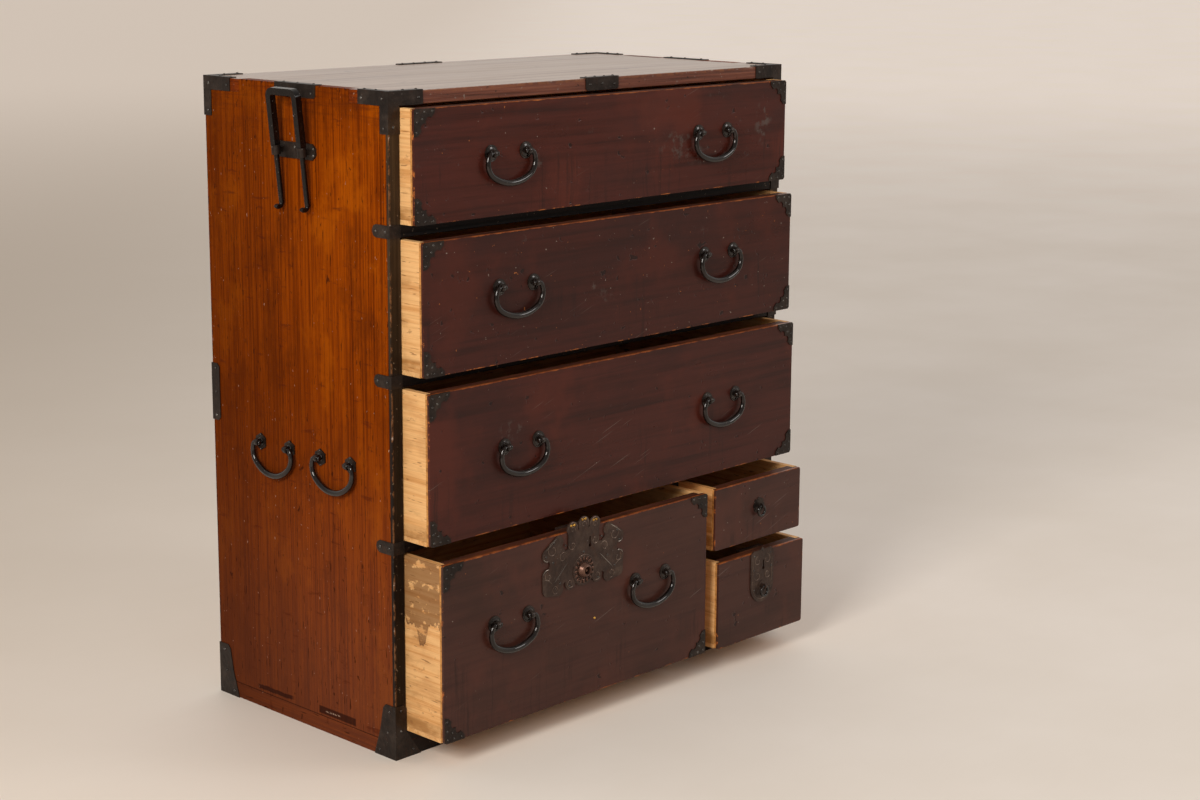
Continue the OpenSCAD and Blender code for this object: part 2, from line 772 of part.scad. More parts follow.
// Two sides and a lower back between them
module drawer_box(i) {
    x0 = DRAWER_X0[i];
    x1 = DRAWER_X1[i];
    z0 = DRAWER_Z[i] + drawer_floor_t;
    z1 = DRAWER_Z[i] + DRAWER_H[i];
    y = -hd - DRAWER_OPEN[i];
    color(PLAIN_WOOD) {
        for (x = [x0, x1 - drawer_side_t])
            span_box([x, y + lap_t, z0], [x + drawer_side_t, y + drawer_d, z1]);
        span_box([x0 + drawer_side_t, y + drawer_d - drawer_back_t, z0],
                 [x1 - drawer_side_t, y + drawer_d, z1 - back_drop]);
    }
}

module drawer_floor(i) {
    y = -hd - DRAWER_OPEN[i];
    color(PLAIN_WOOD)
        span_box([DRAWER_X0[i], y + lap_t, DRAWER_Z[i]],
                 [DRAWER_X1[i], y + drawer_d, DRAWER_Z[i] + drawer_floor_t]);
}

// One corner iron, from the drawer's lower left corner, with two bites out of its slanting edge
module drawer_corner_iron() {
    l = drawer_corner_l;
    raise_plate(iron_t) difference() {
        polygon([[3, 0], [l, 0], [l - 1, 7], [7, l - 1], [0, l], [0, 3]]);
        for (s = [0, 1]) mirror([s, -s]) translate([l * 0.7, l * 0.47]) circle(l * 0.17);
    }
}

module drawer_irons(i) {
    color(IRON) {
        if (i <= WIDE) {
            translate([drawer_cx(i), -hd - DRAWER_OPEN[i], DRAWER_Z[i]]) {
                half_w = (DRAWER_X1[i] - DRAWER_X0[i]) / 2;
                both_sides() {
                    translate([-half_w, 0, 0]) drawer_corner_iron();
                    translate([-half_w, 0, DRAWER_H[i]]) mirror([0, 0, 1]) drawer_corner_iron();
                }
            }
            for (dx = post_dx(i)) on_drawer_pull(i, dx) drawer_post();
        }
        if (i == NARROW) on_drawer_pull(i, 0) {
            raise_disc(flower_r * 0.75, plate_t);
            for (k = [0:flower_n - 1]) rotate([0, k * 360 / flower_n, 0])
                translate([flower_r * 0.7, 0, 0]) raise_disc(flower_r * 0.3, plate_t * 0.8);
            ring_post();
        }
        if (i == SMALL_LOCK) {
            on_drawer_top(i) {
                difference() {
                    raise_plate(plate_t) small_plate_outline();
                    keyhole(key_dx(i), -plate_t - 1, 1);
                }
                lock_case(i);
            }
            on_drawer_pull(i, 0) {
                raise_disc(ring_r + 1, plate_t + 1);
                ring_post();
            }
        }
    }
}

// ---------- ring pulls ----------

module ring_post() {
    eye_post(ring_proud, 2.4, ring_wire_r + ring_gap + 2.2, 3, ring_wire_r + ring_gap, front_t + clench_t);
    translate([0, front_t + clench_t, 0]) raise_disc(5, clench_t);
}

module ring_pull(i) {
    color(IRON) on_drawer_pull(i, 0)
        translate([0, -ring_proud, -ring_r]) arc_bar(ring_r, ring_wire_r, 0, 360);
}

// ---------- locks ----------

// Offset of the keyhole from the middle of lock drawer i
function key_dx(i) = i == WIDE ? 14 : 3;

// Iron case behind the front of lock drawer i, open at the top for the bolt
module lock_case(i) {
    w = bolt_w / 2 + bolt_gap;
    y0 = front_t + (lock_case_t - bolt_t) / 2 - bolt_gap;
    difference() {
        span_box([-lock_case_w / 2, front_t, -lock_case_h],
                 [lock_case_w / 2, front_t + lock_case_t, 0]);
        span_box([-w, y0, -bolt_l - bolt_gap], [w, y0 + bolt_t + 2 * bolt_gap, 1]);
        keyhole(key_dx(i), front_t - 1, y0 + 1);
    }
}

// Outline of the big lock plate; z = 0 is the drawer's top edge
module wide_plate_outline() {
    w = plate_half_w;
    lobe = w * 0.12;
    low = -boss_down;
    peak = [w * 0.62, -lobe - 1.5];
    tip = [w - lobe, -2.6 * lobe];
    waist = [w * 0.82, low + 2.1 * lobe];
    elbow = [w - lobe, low + 0.6 * lobe];
    heel = [w - lobe - 1, low - 1.5 * lobe];
    toe = [w * 0.62, low - 1.8 * lobe];
    curl = [w * 0.33, low - 1.4 * lobe];
    for (k = [-1:1]) translate([k * petal_pitch, petal_up + (k == 0 ? 4 : 0)]) circle(petal_r);
    translate([-petal_pitch - petal_r * 0.8, -3 * lobe])
        square([2 * petal_pitch + petal_r * 1.6, 3 * lobe]);
    translate([0, low]) circle(boss_r * 2.1);
    both_sides() {
        polygon([[0, -2 * lobe], [w * 0.45, -2.6 * lobe], peak, tip, waist, elbow, heel, toe,
                 [w * 0.46, low - lobe], curl, [0, low]]);
        plate_lobe(peak, tip, lobe);
        plate_lobe(elbow, heel, lobe);
        plate_lobe(toe, heel, lobe);
        translate(curl) circle(lobe);
    }
}

// Long lobe of radius r from one point to another, its sides a little inside its round ends
module plate_lobe(from, to, r) {
    along = (to - from) / norm(to - from);
    out = [-along[1], along[0]] * r * 0.97;
    translate(from) circle(r);
    translate(to) circle(r);
    polygon([from + out, to + out, to - out, from - out]);
}

// Outline of the small lock plate; z = 0 is the drawer's top edge
module small_plate_outline() {
    w = small_plate_w / 2;
    translate([-w, w - small_plate_l]) square([2 * w, small_plate_l - w - 6]);
    translate([0, w - small_plate_l]) circle(w);
    for (s = [-1, 1]) translate([s * (w - 9), -6]) circle(9);
    polygon([[6 - w, 2], [-5, 3], [0, 7.5], [5, 3], [w - 6, 2], [w - 9, -8], [9 - w, -8]]);
}

module wide_lock() {
    color(PLATE_IRON) on_drawer_top(WIDE) {
        difference() {
            raise_plate(plate_t) wide_plate_outline();
            keyhole(key_dx(WIDE), -plate_t - 1, 1);
        }
        translate([0, 0, -boss_down]) {
            difference() {
                raise_disc(boss_r * 2, plate_t + 1);
                translate([0, 1, 0]) raise_disc(boss_r * 1.7, plate_t + 3);
            }
            raise_disc(boss_r * 1.7, plate_t);
            difference() {
                rotate([90, 0, 0]) cylinder(r1 = boss_r, r2 = boss_r * 0.8, h = boss_h);
                translate([0, -boss_h * 0.5, 0]) raise_disc(boss_r * 0.5, boss_h);
            }
        }
        lock_case(WIDE);
    }
}

// Sliding bolt of lock drawer i, resting on the floor of its case
module lock_bolt(i) {
    y = front_t + lock_case_t / 2;
    color(IRON) on_drawer_top(i)
        span_box([-bolt_w / 2, y - bolt_t / 2, -bolt_l], [bolt_w / 2, y + bolt_t / 2, 0]);
}

side_board(false);  // side_board_left
side_board(true);  // side_board_right
top_board();
bottom_board();
back_planks();
stile_facings();
front_rails();
dust_boards();
runners();
divider();
small_shelf();
top_corner_irons();
base_corner_irons();
edge_straps();
side_irons(false);  // side_irons_left
side_irons(true);  // side_irons_right
carry_handle(false);  // carry_handle_left
carry_handle(true);  // carry_handle_right
side_bail(false, side_bail_front);  // side_bail_left_front
side_bail(false, side_bail_rear);  // side_bail_left_rear
side_bail(true, side_bail_front);  // side_bail_right_front
side_bail(true, side_bail_rear);  // side_bail_right_rear
drawer_front(0);  // top_drawer_front
drawer_box(0);  // top_drawer_box
drawer_floor(0);  // top_drawer_floor
drawer_irons(0);  // top_drawer_irons
drawer_bail(0, -1);  // top_bail_left
drawer_bail(0, 1);  // top_bail_right
drawer_front(1);  // second_drawer_front
drawer_box(1);  // second_drawer_box
drawer_floor(1);  // second_drawer_floor
drawer_irons(1);  // second_drawer_irons
drawer_bail(1, -1);  // second_bail_left
drawer_bail(1, 1);  // second_bail_right
drawer_front(2);  // third_drawer_front
drawer_box(2);  // third_drawer_box
drawer_floor(2);  // third_drawer_floor
drawer_irons(2);  // third_drawer_irons
drawer_bail(2, -1);  // third_bail_left
drawer_bail(2, 1);  // third_bail_right
drawer_front(WIDE);  // wide_drawer_front
drawer_box(WIDE);  // wide_drawer_box
drawer_floor(WIDE);  // wide_drawer_floor
drawer_irons(WIDE);  // wide_drawer_irons
drawer_bail(WIDE, -1);  // wide_bail_left
drawer_bail(WIDE, 1);  // wide_bail_right
wide_lock();
lock_bolt(WIDE);  // wide_lock_bolt
drawer_front(NARROW);  // narrow_drawer_front
drawer_box(NARROW);  // narrow_drawer_box
drawer_floor(NARROW);  // narrow_drawer_floor
drawer_irons(NARROW);  // narrow_drawer_irons
ring_pull(NARROW);  // narrow_ring
drawer_front(SMALL_LOCK);  // small_drawer_front
drawer_box(SMALL_LOCK);  // small_drawer_box
drawer_floor(SMALL_LOCK);  // small_drawer_floor
drawer_irons(SMALL_LOCK);  // small_drawer_irons
ring_pull(SMALL_LOCK);  // small_ring
lock_bolt(SMALL_LOCK);  // small_lock_bolt
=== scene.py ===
"""Clothing chest with iron fittings: finishes, forged bails, posts, nails and chased plates over the built frame."""

import json
import math

import bmesh
import bpy
from mathutils import Euler, Matrix, Vector

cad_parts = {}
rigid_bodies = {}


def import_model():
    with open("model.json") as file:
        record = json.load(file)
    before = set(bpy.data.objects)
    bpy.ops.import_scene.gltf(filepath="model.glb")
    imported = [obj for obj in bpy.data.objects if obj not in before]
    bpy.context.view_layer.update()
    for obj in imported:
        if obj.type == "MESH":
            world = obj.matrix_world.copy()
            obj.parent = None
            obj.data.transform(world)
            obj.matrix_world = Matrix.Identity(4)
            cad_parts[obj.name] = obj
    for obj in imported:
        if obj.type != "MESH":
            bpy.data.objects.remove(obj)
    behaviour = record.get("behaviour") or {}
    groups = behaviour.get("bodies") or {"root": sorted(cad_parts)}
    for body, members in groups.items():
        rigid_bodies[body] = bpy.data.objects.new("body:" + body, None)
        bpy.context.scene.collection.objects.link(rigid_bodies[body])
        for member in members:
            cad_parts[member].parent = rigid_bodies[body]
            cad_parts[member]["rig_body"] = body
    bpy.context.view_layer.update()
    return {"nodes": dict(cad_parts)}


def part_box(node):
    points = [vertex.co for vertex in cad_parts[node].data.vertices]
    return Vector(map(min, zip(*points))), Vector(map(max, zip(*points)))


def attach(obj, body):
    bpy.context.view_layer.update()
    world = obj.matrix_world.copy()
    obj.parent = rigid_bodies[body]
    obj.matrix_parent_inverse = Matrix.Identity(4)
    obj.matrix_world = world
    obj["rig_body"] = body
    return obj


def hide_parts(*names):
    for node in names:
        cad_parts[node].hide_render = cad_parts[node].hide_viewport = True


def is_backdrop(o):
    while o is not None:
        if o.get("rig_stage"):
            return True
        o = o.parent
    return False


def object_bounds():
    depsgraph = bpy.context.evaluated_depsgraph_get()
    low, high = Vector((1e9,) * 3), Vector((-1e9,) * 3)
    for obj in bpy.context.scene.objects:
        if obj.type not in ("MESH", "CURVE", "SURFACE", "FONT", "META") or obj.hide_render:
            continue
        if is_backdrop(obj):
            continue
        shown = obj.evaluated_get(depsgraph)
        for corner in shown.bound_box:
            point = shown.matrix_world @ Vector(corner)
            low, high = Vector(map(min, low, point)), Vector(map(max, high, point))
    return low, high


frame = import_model()
NODES = frame["nodes"]
MM = 0.001
WIDE_DRAWERS = ["top", "second", "third", "wide"]
DRAWERS = WIDE_DRAWERS + ["narrow", "small"]
SIDES = ["left", "right"]
# the case in metres: half its width, half its depth, its height and its top board's thickness
HALF_W, HALF_D, TALL, TOP_THICK = 0.4375, 0.216, 1.0, 0.024
# ironwork: half a bail's bar, how far its pivot stands out, half the distance of its posts, and the sheet iron
BAIL_BAR = 4.6 * MM
POST_PROUD = 8 * MM
POST_HALF_SPAN = 35.5 * MM
SHEET = 1.5 * MM
LOCK_SHEET = 2 * MM
BRACKET_SHEET = 3 * MM


# ---------- finishes ----------

def paint(text):
    """A colour written as it looks, as the shader's linear colour"""
    values = [int(text[i:i + 2], 16) / 255 for i in (1, 3, 5)]
    return tuple(v / 12.92 if v < 0.04045 else ((v + 0.055) / 1.055) ** 2.4 for v in values) + (1.0,)


class Nodes:
    """Adds nodes to a tree; the values fill a node's inputs in order, sockets are linked and None is left"""

    def __init__(self, tree):
        self.tree = tree

    def add(self, kind, *values, **settings):
        node = self.tree.nodes.new(kind)
        for key, value in settings.items():
            setattr(node, key, value)
        for socket, value in zip([s for s in node.inputs if s.enabled], values):
            self.put(socket, value)
        return node

    def put(self, socket, value):
        if isinstance(value, bpy.types.NodeSocket):
            self.tree.links.new(value, socket)
        elif value is not None:
            socket.default_value = value


class Finish(Nodes):
    """A finish laid in layers on a principled shader, from the place of each point on the chest in metres"""

    def __init__(self, name, rough=0.5, specular=0.5, metal=0.0, coat=0.0, coat_rough=0.2):
        self.mat = bpy.data.materials.new(name)
        self.mat.use_nodes = True
        super().__init__(self.mat.node_tree)
        self.tree.nodes.clear()
        self.shader = self.add("ShaderNodeBsdfPrincipled")
        self.tree.links.new(self.shader.outputs[0], self.add("ShaderNodeOutputMaterial").inputs[0])
        for socket, value in (("Roughness", rough), ("Specular IOR Level", specular), ("Metallic", metal),
                              ("Coat Weight", coat), ("Coat Roughness", coat_rough)):
            self.shader.inputs[socket].default_value = value
        place = self.add("ShaderNodeTexCoord").outputs["Object"]
        self.x, self.y, self.z = self.add("ShaderNodeSeparateXYZ", place).outputs
        self.colour = None

    def set(self, name, value):
        self.put(self.shader.inputs[name], value)

    def calc(self, operation, *values):
        return self.add("ShaderNodeMath", *values, operation=operation).outputs[0]

    def through(self, operation, first, *others):
        """One operation carried through several values"""
        for other in others:
            first = self.calc(operation, first, other)
        return first

    def times(self, *values):
        return self.through("MULTIPLY", *values)

    def plus(self, *values):
        return self.through("ADD", *values)

    def minus(self, a, b):
        return self.calc("SUBTRACT", a, b)

    def apart(self, a, b):
        """How far a lies from b, either way"""
        return self.calc("ABSOLUTE", self.minus(a, b))

    def least(self, *values):
        return self.through("MINIMUM", *values)

    def most(self, *values):
        return self.through("MAXIMUM", *values)

    def noise(self, x, y, z, detail=2.0, rough=0.5, warp=0.0):
        """Even noise whose features are 1/x, 1/y and 1/z of a metre; each may also be a socket already scaled"""
        places = [self.times(axis, scale) if isinstance(scale, (int, float)) else scale
                  for axis, scale in zip((self.x, self.y, self.z), (x, y, z))]
        node = self.add("ShaderNodeTexNoise")
        self.put(node.inputs["Vector"], self.add("ShaderNodeCombineXYZ", *places).outputs[0])
        for key, value in (("Scale", 1.0), ("Detail", detail), ("Roughness", rough), ("Distortion", warp)):
            node.inputs[key].default_value = value
        return node.outputs[0]

    def ease(self, value, start, end):
        """0 before start and 1 after end, turning smoothly in between"""
        if isinstance(start, (int, float)) and isinstance(end, (int, float)) and start > end:
            return self.minus(1.0, self.ease(value, end, start))
        return self.add("ShaderNodeMapRange", value, start, end, 0.0, 1.0,
                        interpolation_type="SMOOTHSTEP").outputs[0]

    def within(self, value, start, end, soft):
        return self.times(self.ease(value, start - soft, start + soft), self.ease(value, end + soft, end - soft))

    def tones(self, value, stops):
        node = self.add("ShaderNodeValToRGB", value)
        ramp = node.color_ramp
        while len(ramp.elements) < len(stops):
            ramp.elements.new(0.5)
        for element, (at, colour) in zip(ramp.elements, stops):
            element.position = at
            element.color = paint(colour)
        return node.outputs[0]

    def mixed(self, share, under, over):
        node = self.add("ShaderNodeMix", data_type="RGBA")
        self.put(node.inputs[0], share)
        for socket, value in ((node.inputs[6], under), (node.inputs[7], over)):
            self.put(socket, paint(value) if isinstance(value, str) else value)
        return node.outputs[2]

    def cover(self, share, over):
        """Lays a share of another colour over the finish"""
        self.colour = self.mixed(share, self.colour, over)

    def tint(self, over, value, start, end, strength=1.0):
        """Lays a colour over the finish where a value rises, or falls, from start to end"""
        self.cover(self.times(self.ease(value, start, end), strength), over)

    def between(self, share, a, b):
        node = self.add("ShaderNodeMix", data_type="FLOAT")
        for socket, value in ((node.inputs[0], share), (node.inputs[2], a), (node.inputs[3], b)):
            self.put(socket, value)
        return node.outputs[0]

    def done(self, height, depth):
        """Colours the finish, gives it its relief and hands it over"""
        self.set("Base Color", self.colour)
        self.relief(height, depth)
        return self.mat

    def relief(self, height, depth):
        node = self.add("ShaderNodeBump")
        self.put(node.inputs["Height"], height)
        node.inputs["Distance"].default_value = depth
        self.set("Normal", node.outputs[0])


def along_board(finish, axis, long_scale, cross_scale, detail=6.0, rough=0.62, warp=0.15):
    """Growth lines that run along one axis of the chest"""
    scales = {k: cross_scale for k in "XYZ"}
    scales[axis] = long_scale
    return finish.noise(scales["X"], scales["Y"], scales["Z"], detail, rough, warp)


def side_lacquer(name, axis):
    """Thin orange-brown lacquer over straight-grained softwood"""
    f = Finish(name, rough=0.36, specular=0.014)
    rings = along_board(f, axis, 2.6, 215.0, 6.0, 0.68, 0.3)
    bands = along_board(f, axis, 1.3, 34.0, 4.0, 0.6)
    fine = along_board(f, axis, 11.0, 620.0, 2.0, 0.6)
    cloud = f.noise(7.0, 9.0, 6.5, 5.0, 0.66)
    f.colour = f.tones(rings, [(0.34, "#4f1e01"), (0.43, "#6f2c01"), (0.5, "#803601"), (0.57, "#924201"),
                               (0.66, "#803501"), (0.76, "#582101")])
    f.tint("#5f2701", bands, 0.47, 0.68, 0.4)
    f.tint("#9a4702", bands, 0.42, 0.28, 0.4)
    f.tint("#4a1c01", fine, 0.5, 0.68, 0.4)
    f.tint("#4d1d03", cloud, 0.5, 0.66, 0.55)
    f.tint("#a35003", cloud, 0.46, 0.34, 0.42)
    # painted shade: a darker band at mid-height
    f.cover(f.times(f.within(f.z, 0.3, 0.62, 0.2), 0.3), "#571f01")
    # painted shade towards the back, and towards the foot painted shade greyed by a painted reflection of the floor
    f.tint("#5c3425", f.z, 0.56, 0.0, 0.68)
    f.tint("#401702", f.y, -0.12, HALF_D, 0.5)
    # dark pores and bruises along the grain, and a few pale scuffs
    pores = along_board(f, axis, 46.0, 420.0, 1.0)
    f.tint("#2a0f04", pores, 0.67, 0.74, 0.8)
    smudge = f.noise(*{"Z": (30.0, 16.0, 75.0), "Y": (30.0, 75.0, 16.0)}[axis], 4.0, 0.68)
    f.tint("#47190a", smudge, 0.6, 0.7, 0.55)
    dents = f.noise(70.0, 85.0, 50.0, 3.0, 0.55)
    f.tint("#301307", dents, 0.68, 0.74, 0.75)
    scuffs = f.noise(150.0, 190.0, 110.0, 2.0, 0.5)
    f.tint("#9a7462", scuffs, 0.735, 0.76, 0.7)
    if axis == "Z":
        # the wood is darker over the corner joints, and a strip is let in over the seam at the foot
        joint = f.ease(f.z, 0.9, 0.985)
        across = f.noise(90.0, 14.0, 190.0, 4.0, 0.6)
        f.cover(f.times(joint, f.ease(across, 0.45, 0.7), 0.5), "#4c1d08")
        wander = f.times(f.minus(f.noise(20.0, 45.0, 20.0, 3.0, 0.6), 0.5), 0.009)
        let_in = f.most(
            f.times(f.within(f.y, -0.123, -0.035, 0.0012), f.within(f.z, 0.029, 0.041, 0.0012)),
            f.times(f.within(f.y, 0.03, 0.118, 0.006), f.within(f.plus(f.z, wander), 0.031, 0.038, 0.001)))
        f.cover(f.times(let_in, 0.8), "#26110c")
        scratch = f.times(f.within(f.y, -0.085, -0.052, 0.004), f.within(f.z, 0.0335, 0.0358, 0.001))
        f.cover(f.times(scratch, f.ease(f.noise(300.0, 200.0, 400.0), 0.45, 0.6)), "#a58a78")
        seam = f.within(f.z, 0.0244, 0.0262, 0.0006)
        f.cover(f.times(seam, 0.85), "#1c0b06")
    edge = f.least(f.minus(HALF_D, f.calc("ABSOLUTE", f.y)), f.minus(TALL, f.z))
    chips = f.noise(160.0, 160.0, 110.0, 3.0, 0.6)
    outside = f.ease(f.calc("ABSOLUTE", f.x), HALF_W - 0.0035, HALF_W - 0.0007)
    worn = f.times(f.ease(edge, 0.004, 0.0005), f.ease(chips, 0.5, 0.62), outside)
    f.cover(worn, "#2a120a")
    pale = f.times(f.ease(edge, 0.022, 0.001), f.ease(chips, 0.68, 0.74), outside)
    f.cover(pale, "#b08a72")
    f.set("Roughness", f.between(cloud, 0.3, 0.5))
    return f.done(f.plus(f.times(rings, 0.6), f.times(pores, -0.8)), 0.0005)


def top_lacquer():
    """The top board's upper face, worn and dusty"""
    f = Finish("top_lacquer", rough=0.36, specular=0.5, coat=0.6, coat_rough=0.25)
    rings = f.noise(1.2, 46.0, 60.0, 6.0, 0.62, 0.2)
    lines = f.noise(3.0, 190.0, 60.0, 3.0, 0.6, 0.2)
    cloud = f.noise(3.0, 7.0, 7.0, 4.0, 0.6)
    f.colour = f.tones(rings, [(0.3, "#6a4936"), (0.45, "#957660"), (0.55, "#a58871"), (0.7, "#74543f")])
    f.tint("#64422f", lines, 0.52, 0.7, 0.5)
    f.tint("#83603f", cloud, 0.5, 0.75, 0.5)
    stains = f.noise(26.0, 26.0, 26.0, 3.0, 0.6)
    f.tint("#4a3020", stains, 0.64, 0.72, 0.6)
    rub = f.noise(130.0, 130.0, 130.0, 4.0, 0.65)
    edge = f.least(f.minus(HALF_D, f.calc("ABSOLUTE", f.y)), f.minus(HALF_W, f.calc("ABSOLUTE", f.x)))
    f.cover(f.times(f.ease(edge, 0.006, 0.001), f.ease(rub, 0.45, 0.6)), "#5a3826")
    f.set("Roughness", f.between(cloud, 0.3, 0.5))
    return f.done(f.plus(f.times(rings, 0.5), f.times(rub, 0.25)), 0.0006)


def long_edge_lacquer(name, base_z, tall):
    """Front and back edges of the top board: dark red-brown lacquer, rubbed pale and orange along both arrises"""
    f = Finish(name, rough=0.36, specular=0.3, coat=0.15, coat_rough=0.2)
    streaks = f.noise(4.0, 40.0, 210.0, 5.0, 0.65)
    f.colour = f.tones(streaks, [(0.3, "#4a2416"), (0.5, "#7a4330"), (0.68, "#945a40")])
    rub = f.noise(75.0, 75.0, 160.0, 4.0, 0.68)
    mid = f.apart(f.z, base_z + tall / 2)
    near = f.ease(mid, tall * 0.2, tall * 0.48)
    f.cover(f.times(near, f.ease(rub, 0.46, 0.6), 0.8), "#8f552f")
    f.cover(f.times(f.ease(mid, tall * 0.3, tall * 0.5), f.ease(rub, 0.42, 0.3)), "#ab9082")
    specks = f.noise(170.0, 170.0, 170.0, 2.0)
    f.tint("#8d7a6e", specks, 0.68, 0.73, 0.8)
    f.tint("#21100b", specks, 0.3, 0.27, 0.8)
    return f.done(f.plus(streaks, f.times(rub, 0.6)), 0.0006)


def end_grain_lacquer():
    """Fingers of the top board in the sides: end grain under the sides' lacquer"""
    f = Finish("end_grain_lacquer", rough=0.45, specular=0.035)
    grain = f.noise(60.0, 22.0, 230.0, 5.0, 0.66)
    f.colour = f.tones(grain, [(0.3, "#3a1503"), (0.5, "#6f2c04"), (0.7, "#8b3e07")])
    cloud = f.noise(40.0, 40.0, 60.0, 3.0, 0.6)
    f.tint("#45190a", cloud, 0.45, 0.65, 0.55)
    pale = f.noise(160.0, 160.0, 110.0, 3.0, 0.6)
    f.cover(f.times(f.ease(f.z, 0.975, 0.999), f.ease(pale, 0.64, 0.7)), "#b08a72")
    return f.done(grain, 0.0005)


def bare_wood(f, long, cross, deep, shift):
    """Lays pale wood and hands over its rings; long, cross and deep are the axes of the board"""

    def figure(along, across, through, *others):
        return f.noise(f.plus(f.times(long, along), shift), f.times(cross, across), f.times(deep, through), *others)

    rings = figure(2.2, 95.0, 60.0, 6.0, 0.62, 0.25)
    fine = figure(10.0, 430.0, 430.0, 3.0, 0.6)
    cloud = figure(9.0, 16.0, 16.0, 5.0, 0.62)
    f.colour = f.tones(rings, [(0.3, "#c0874a"), (0.42, "#d8a064"), (0.52, "#e6b67c"), (0.6, "#dcaa70"),
                               (0.74, "#c48e54")])
    f.tint("#b98450", cloud, 0.5, 0.68, 0.5)
    f.tint("#a3682f", fine, 0.5, 0.7, 0.3)
    flecks = figure(40.0, 330.0, 330.0, 1.0)
    f.tint("#7a4a20", flecks, 0.68, 0.74, 0.7)
    return rings


def drawer_box_wood(name, node, stained, shift):
    """Bare sides and back of a drawer: the grain runs along each board"""
    lo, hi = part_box(node)
    f = Finish(name, rough=0.62, specular=0.3)
    middle, half = (lo.x + hi.x) / 2, (hi.x - lo.x) / 2
    on_side = f.ease(f.apart(f.x, middle), half - 0.0116, half - 0.0112)
    long = f.between(on_side, f.x, f.y)
    deep = f.between(on_side, f.y, f.x)
    rings = bare_wood(f, long, f.z, deep, shift)
    worn = f.noise(20.0, 20.0, 45.0, 4.0, 0.6)
    low = f.ease(f.z, lo.z + 0.022, lo.z + 0.014)
    f.cover(f.times(low, f.between(f.ease(worn, 0.35, 0.6), 0.3, 0.85)), "#9a6834")
    f.tint("#ae7c48", worn, 0.54, 0.72, 0.45)
    smudge = f.noise(34.0, 34.0, 60.0, 4.0, 0.66)
    f.tint("#8a5a30", smudge, 0.63, 0.7, 0.5)
    if stained:
        # a water stain over the upper half, with a drip that ran down near the front
        edge = f.noise(34.0, 34.0, 15.0, 5.0, 0.68)
        drip = f.within(f.y, lo.y + 0.030, lo.y + 0.050, 0.008)
        line = f.plus(f.times(edge, -0.07), f.times(drip, -0.034), hi.z - 0.064)
        below = f.minus(f.z, line)
        gaps = f.ease(f.noise(46.0, 46.0, 70.0, 4.0, 0.65), 0.56, 0.64)
        tide = f.within(below, -0.0008, 0.0022, 0.0008)
        stain = f.times(f.ease(below, -0.0006, 0.0012), f.between(gaps, 0.72, 0.12))
        outside = f.ease(f.x, lo.x + 0.002, lo.x + 0.001)
        f.cover(f.times(stain, outside), "#6b4423")
        f.cover(f.times(tide, outside, 0.6), "#5a3519")
        marks = f.times(f.ease(f.noise(60.0, 60.0, 120.0, 3.0, 0.6), 0.66, 0.72), f.ease(below, 0.0, -0.03))
        f.cover(f.times(marks, outside, 0.6), "#7a4c24")
    return f.done(rings, 0.0005)


# the brown-black lacquer of rails, facings and the divider's edge
BLACK_TONES = ((0.3, "#0e0806"), (0.5, "#170e0a"), (0.7, "#22140e"))


def inner_wood(name, axis, planks=0, foot=0.0, head=1.0, front=None):
    """Bare boards inside and behind the case, greyer with age and kept dark as painted shade of the case's inside;
    planks one above the other show their seams, and a board that comes to the front has its edge there lacquered"""
    f = Finish(name, rough=0.7, specular=0.25)
    if planks:
        along_stack = f.times(f.minus(f.z, foot), planks / (head - foot))
        f.x = f.plus(f.x, f.times(f.calc("FLOOR", along_stack), 3.7))
    rings = along_board(f, axis, 1.8, 130.0)
    cloud = f.noise(6.0, 6.0, 6.0, 4.0, 0.6)
    # dark tones: wood greyed with age, darkened further as painted shade inside the case
    f.colour = f.tones(rings, [(0.3, "#6e4a2a"), (0.45, "#94683c"), (0.58, "#a3764a"), (0.72, "#7b5430")])
    f.tint("#5f4630", cloud, 0.45, 0.75, 0.5)
    knots = f.noise(14.0, 14.0, 14.0, 3.0, 0.7, 1.0)
    f.tint("#45301e", knots, 0.68, 0.74, 0.6)
    if planks:
        to_seam = f.apart(f.calc("FRACT", f.plus(along_stack, 0.5)), 0.5)
        f.tint("#2c1c10", to_seam, 0.009, 0.003, 0.8)
    if front is not None:
        lacquer = f.tones(rings, BLACK_TONES)
        f.cover(f.ease(f.y, front + 0.004, front + 0.003), lacquer)
    return f.done(rings, 0.0008)


# lacquer of the upper and of the lower fronts: four tones of the grain, smoky patches and reddish ones
WARM_FRONT = (("#2f130e", "#431b13", "#4c2018", "#361610"), "#2e1612", "#5c2619")
DULL_FRONT = (("#3a201a", "#44261f", "#492a22", "#3c211b"), "#332019", "#552d23")
# how much darker the lacquer of two fronts has grown
DARKER = {"second": 0.3, "third": 0.15}


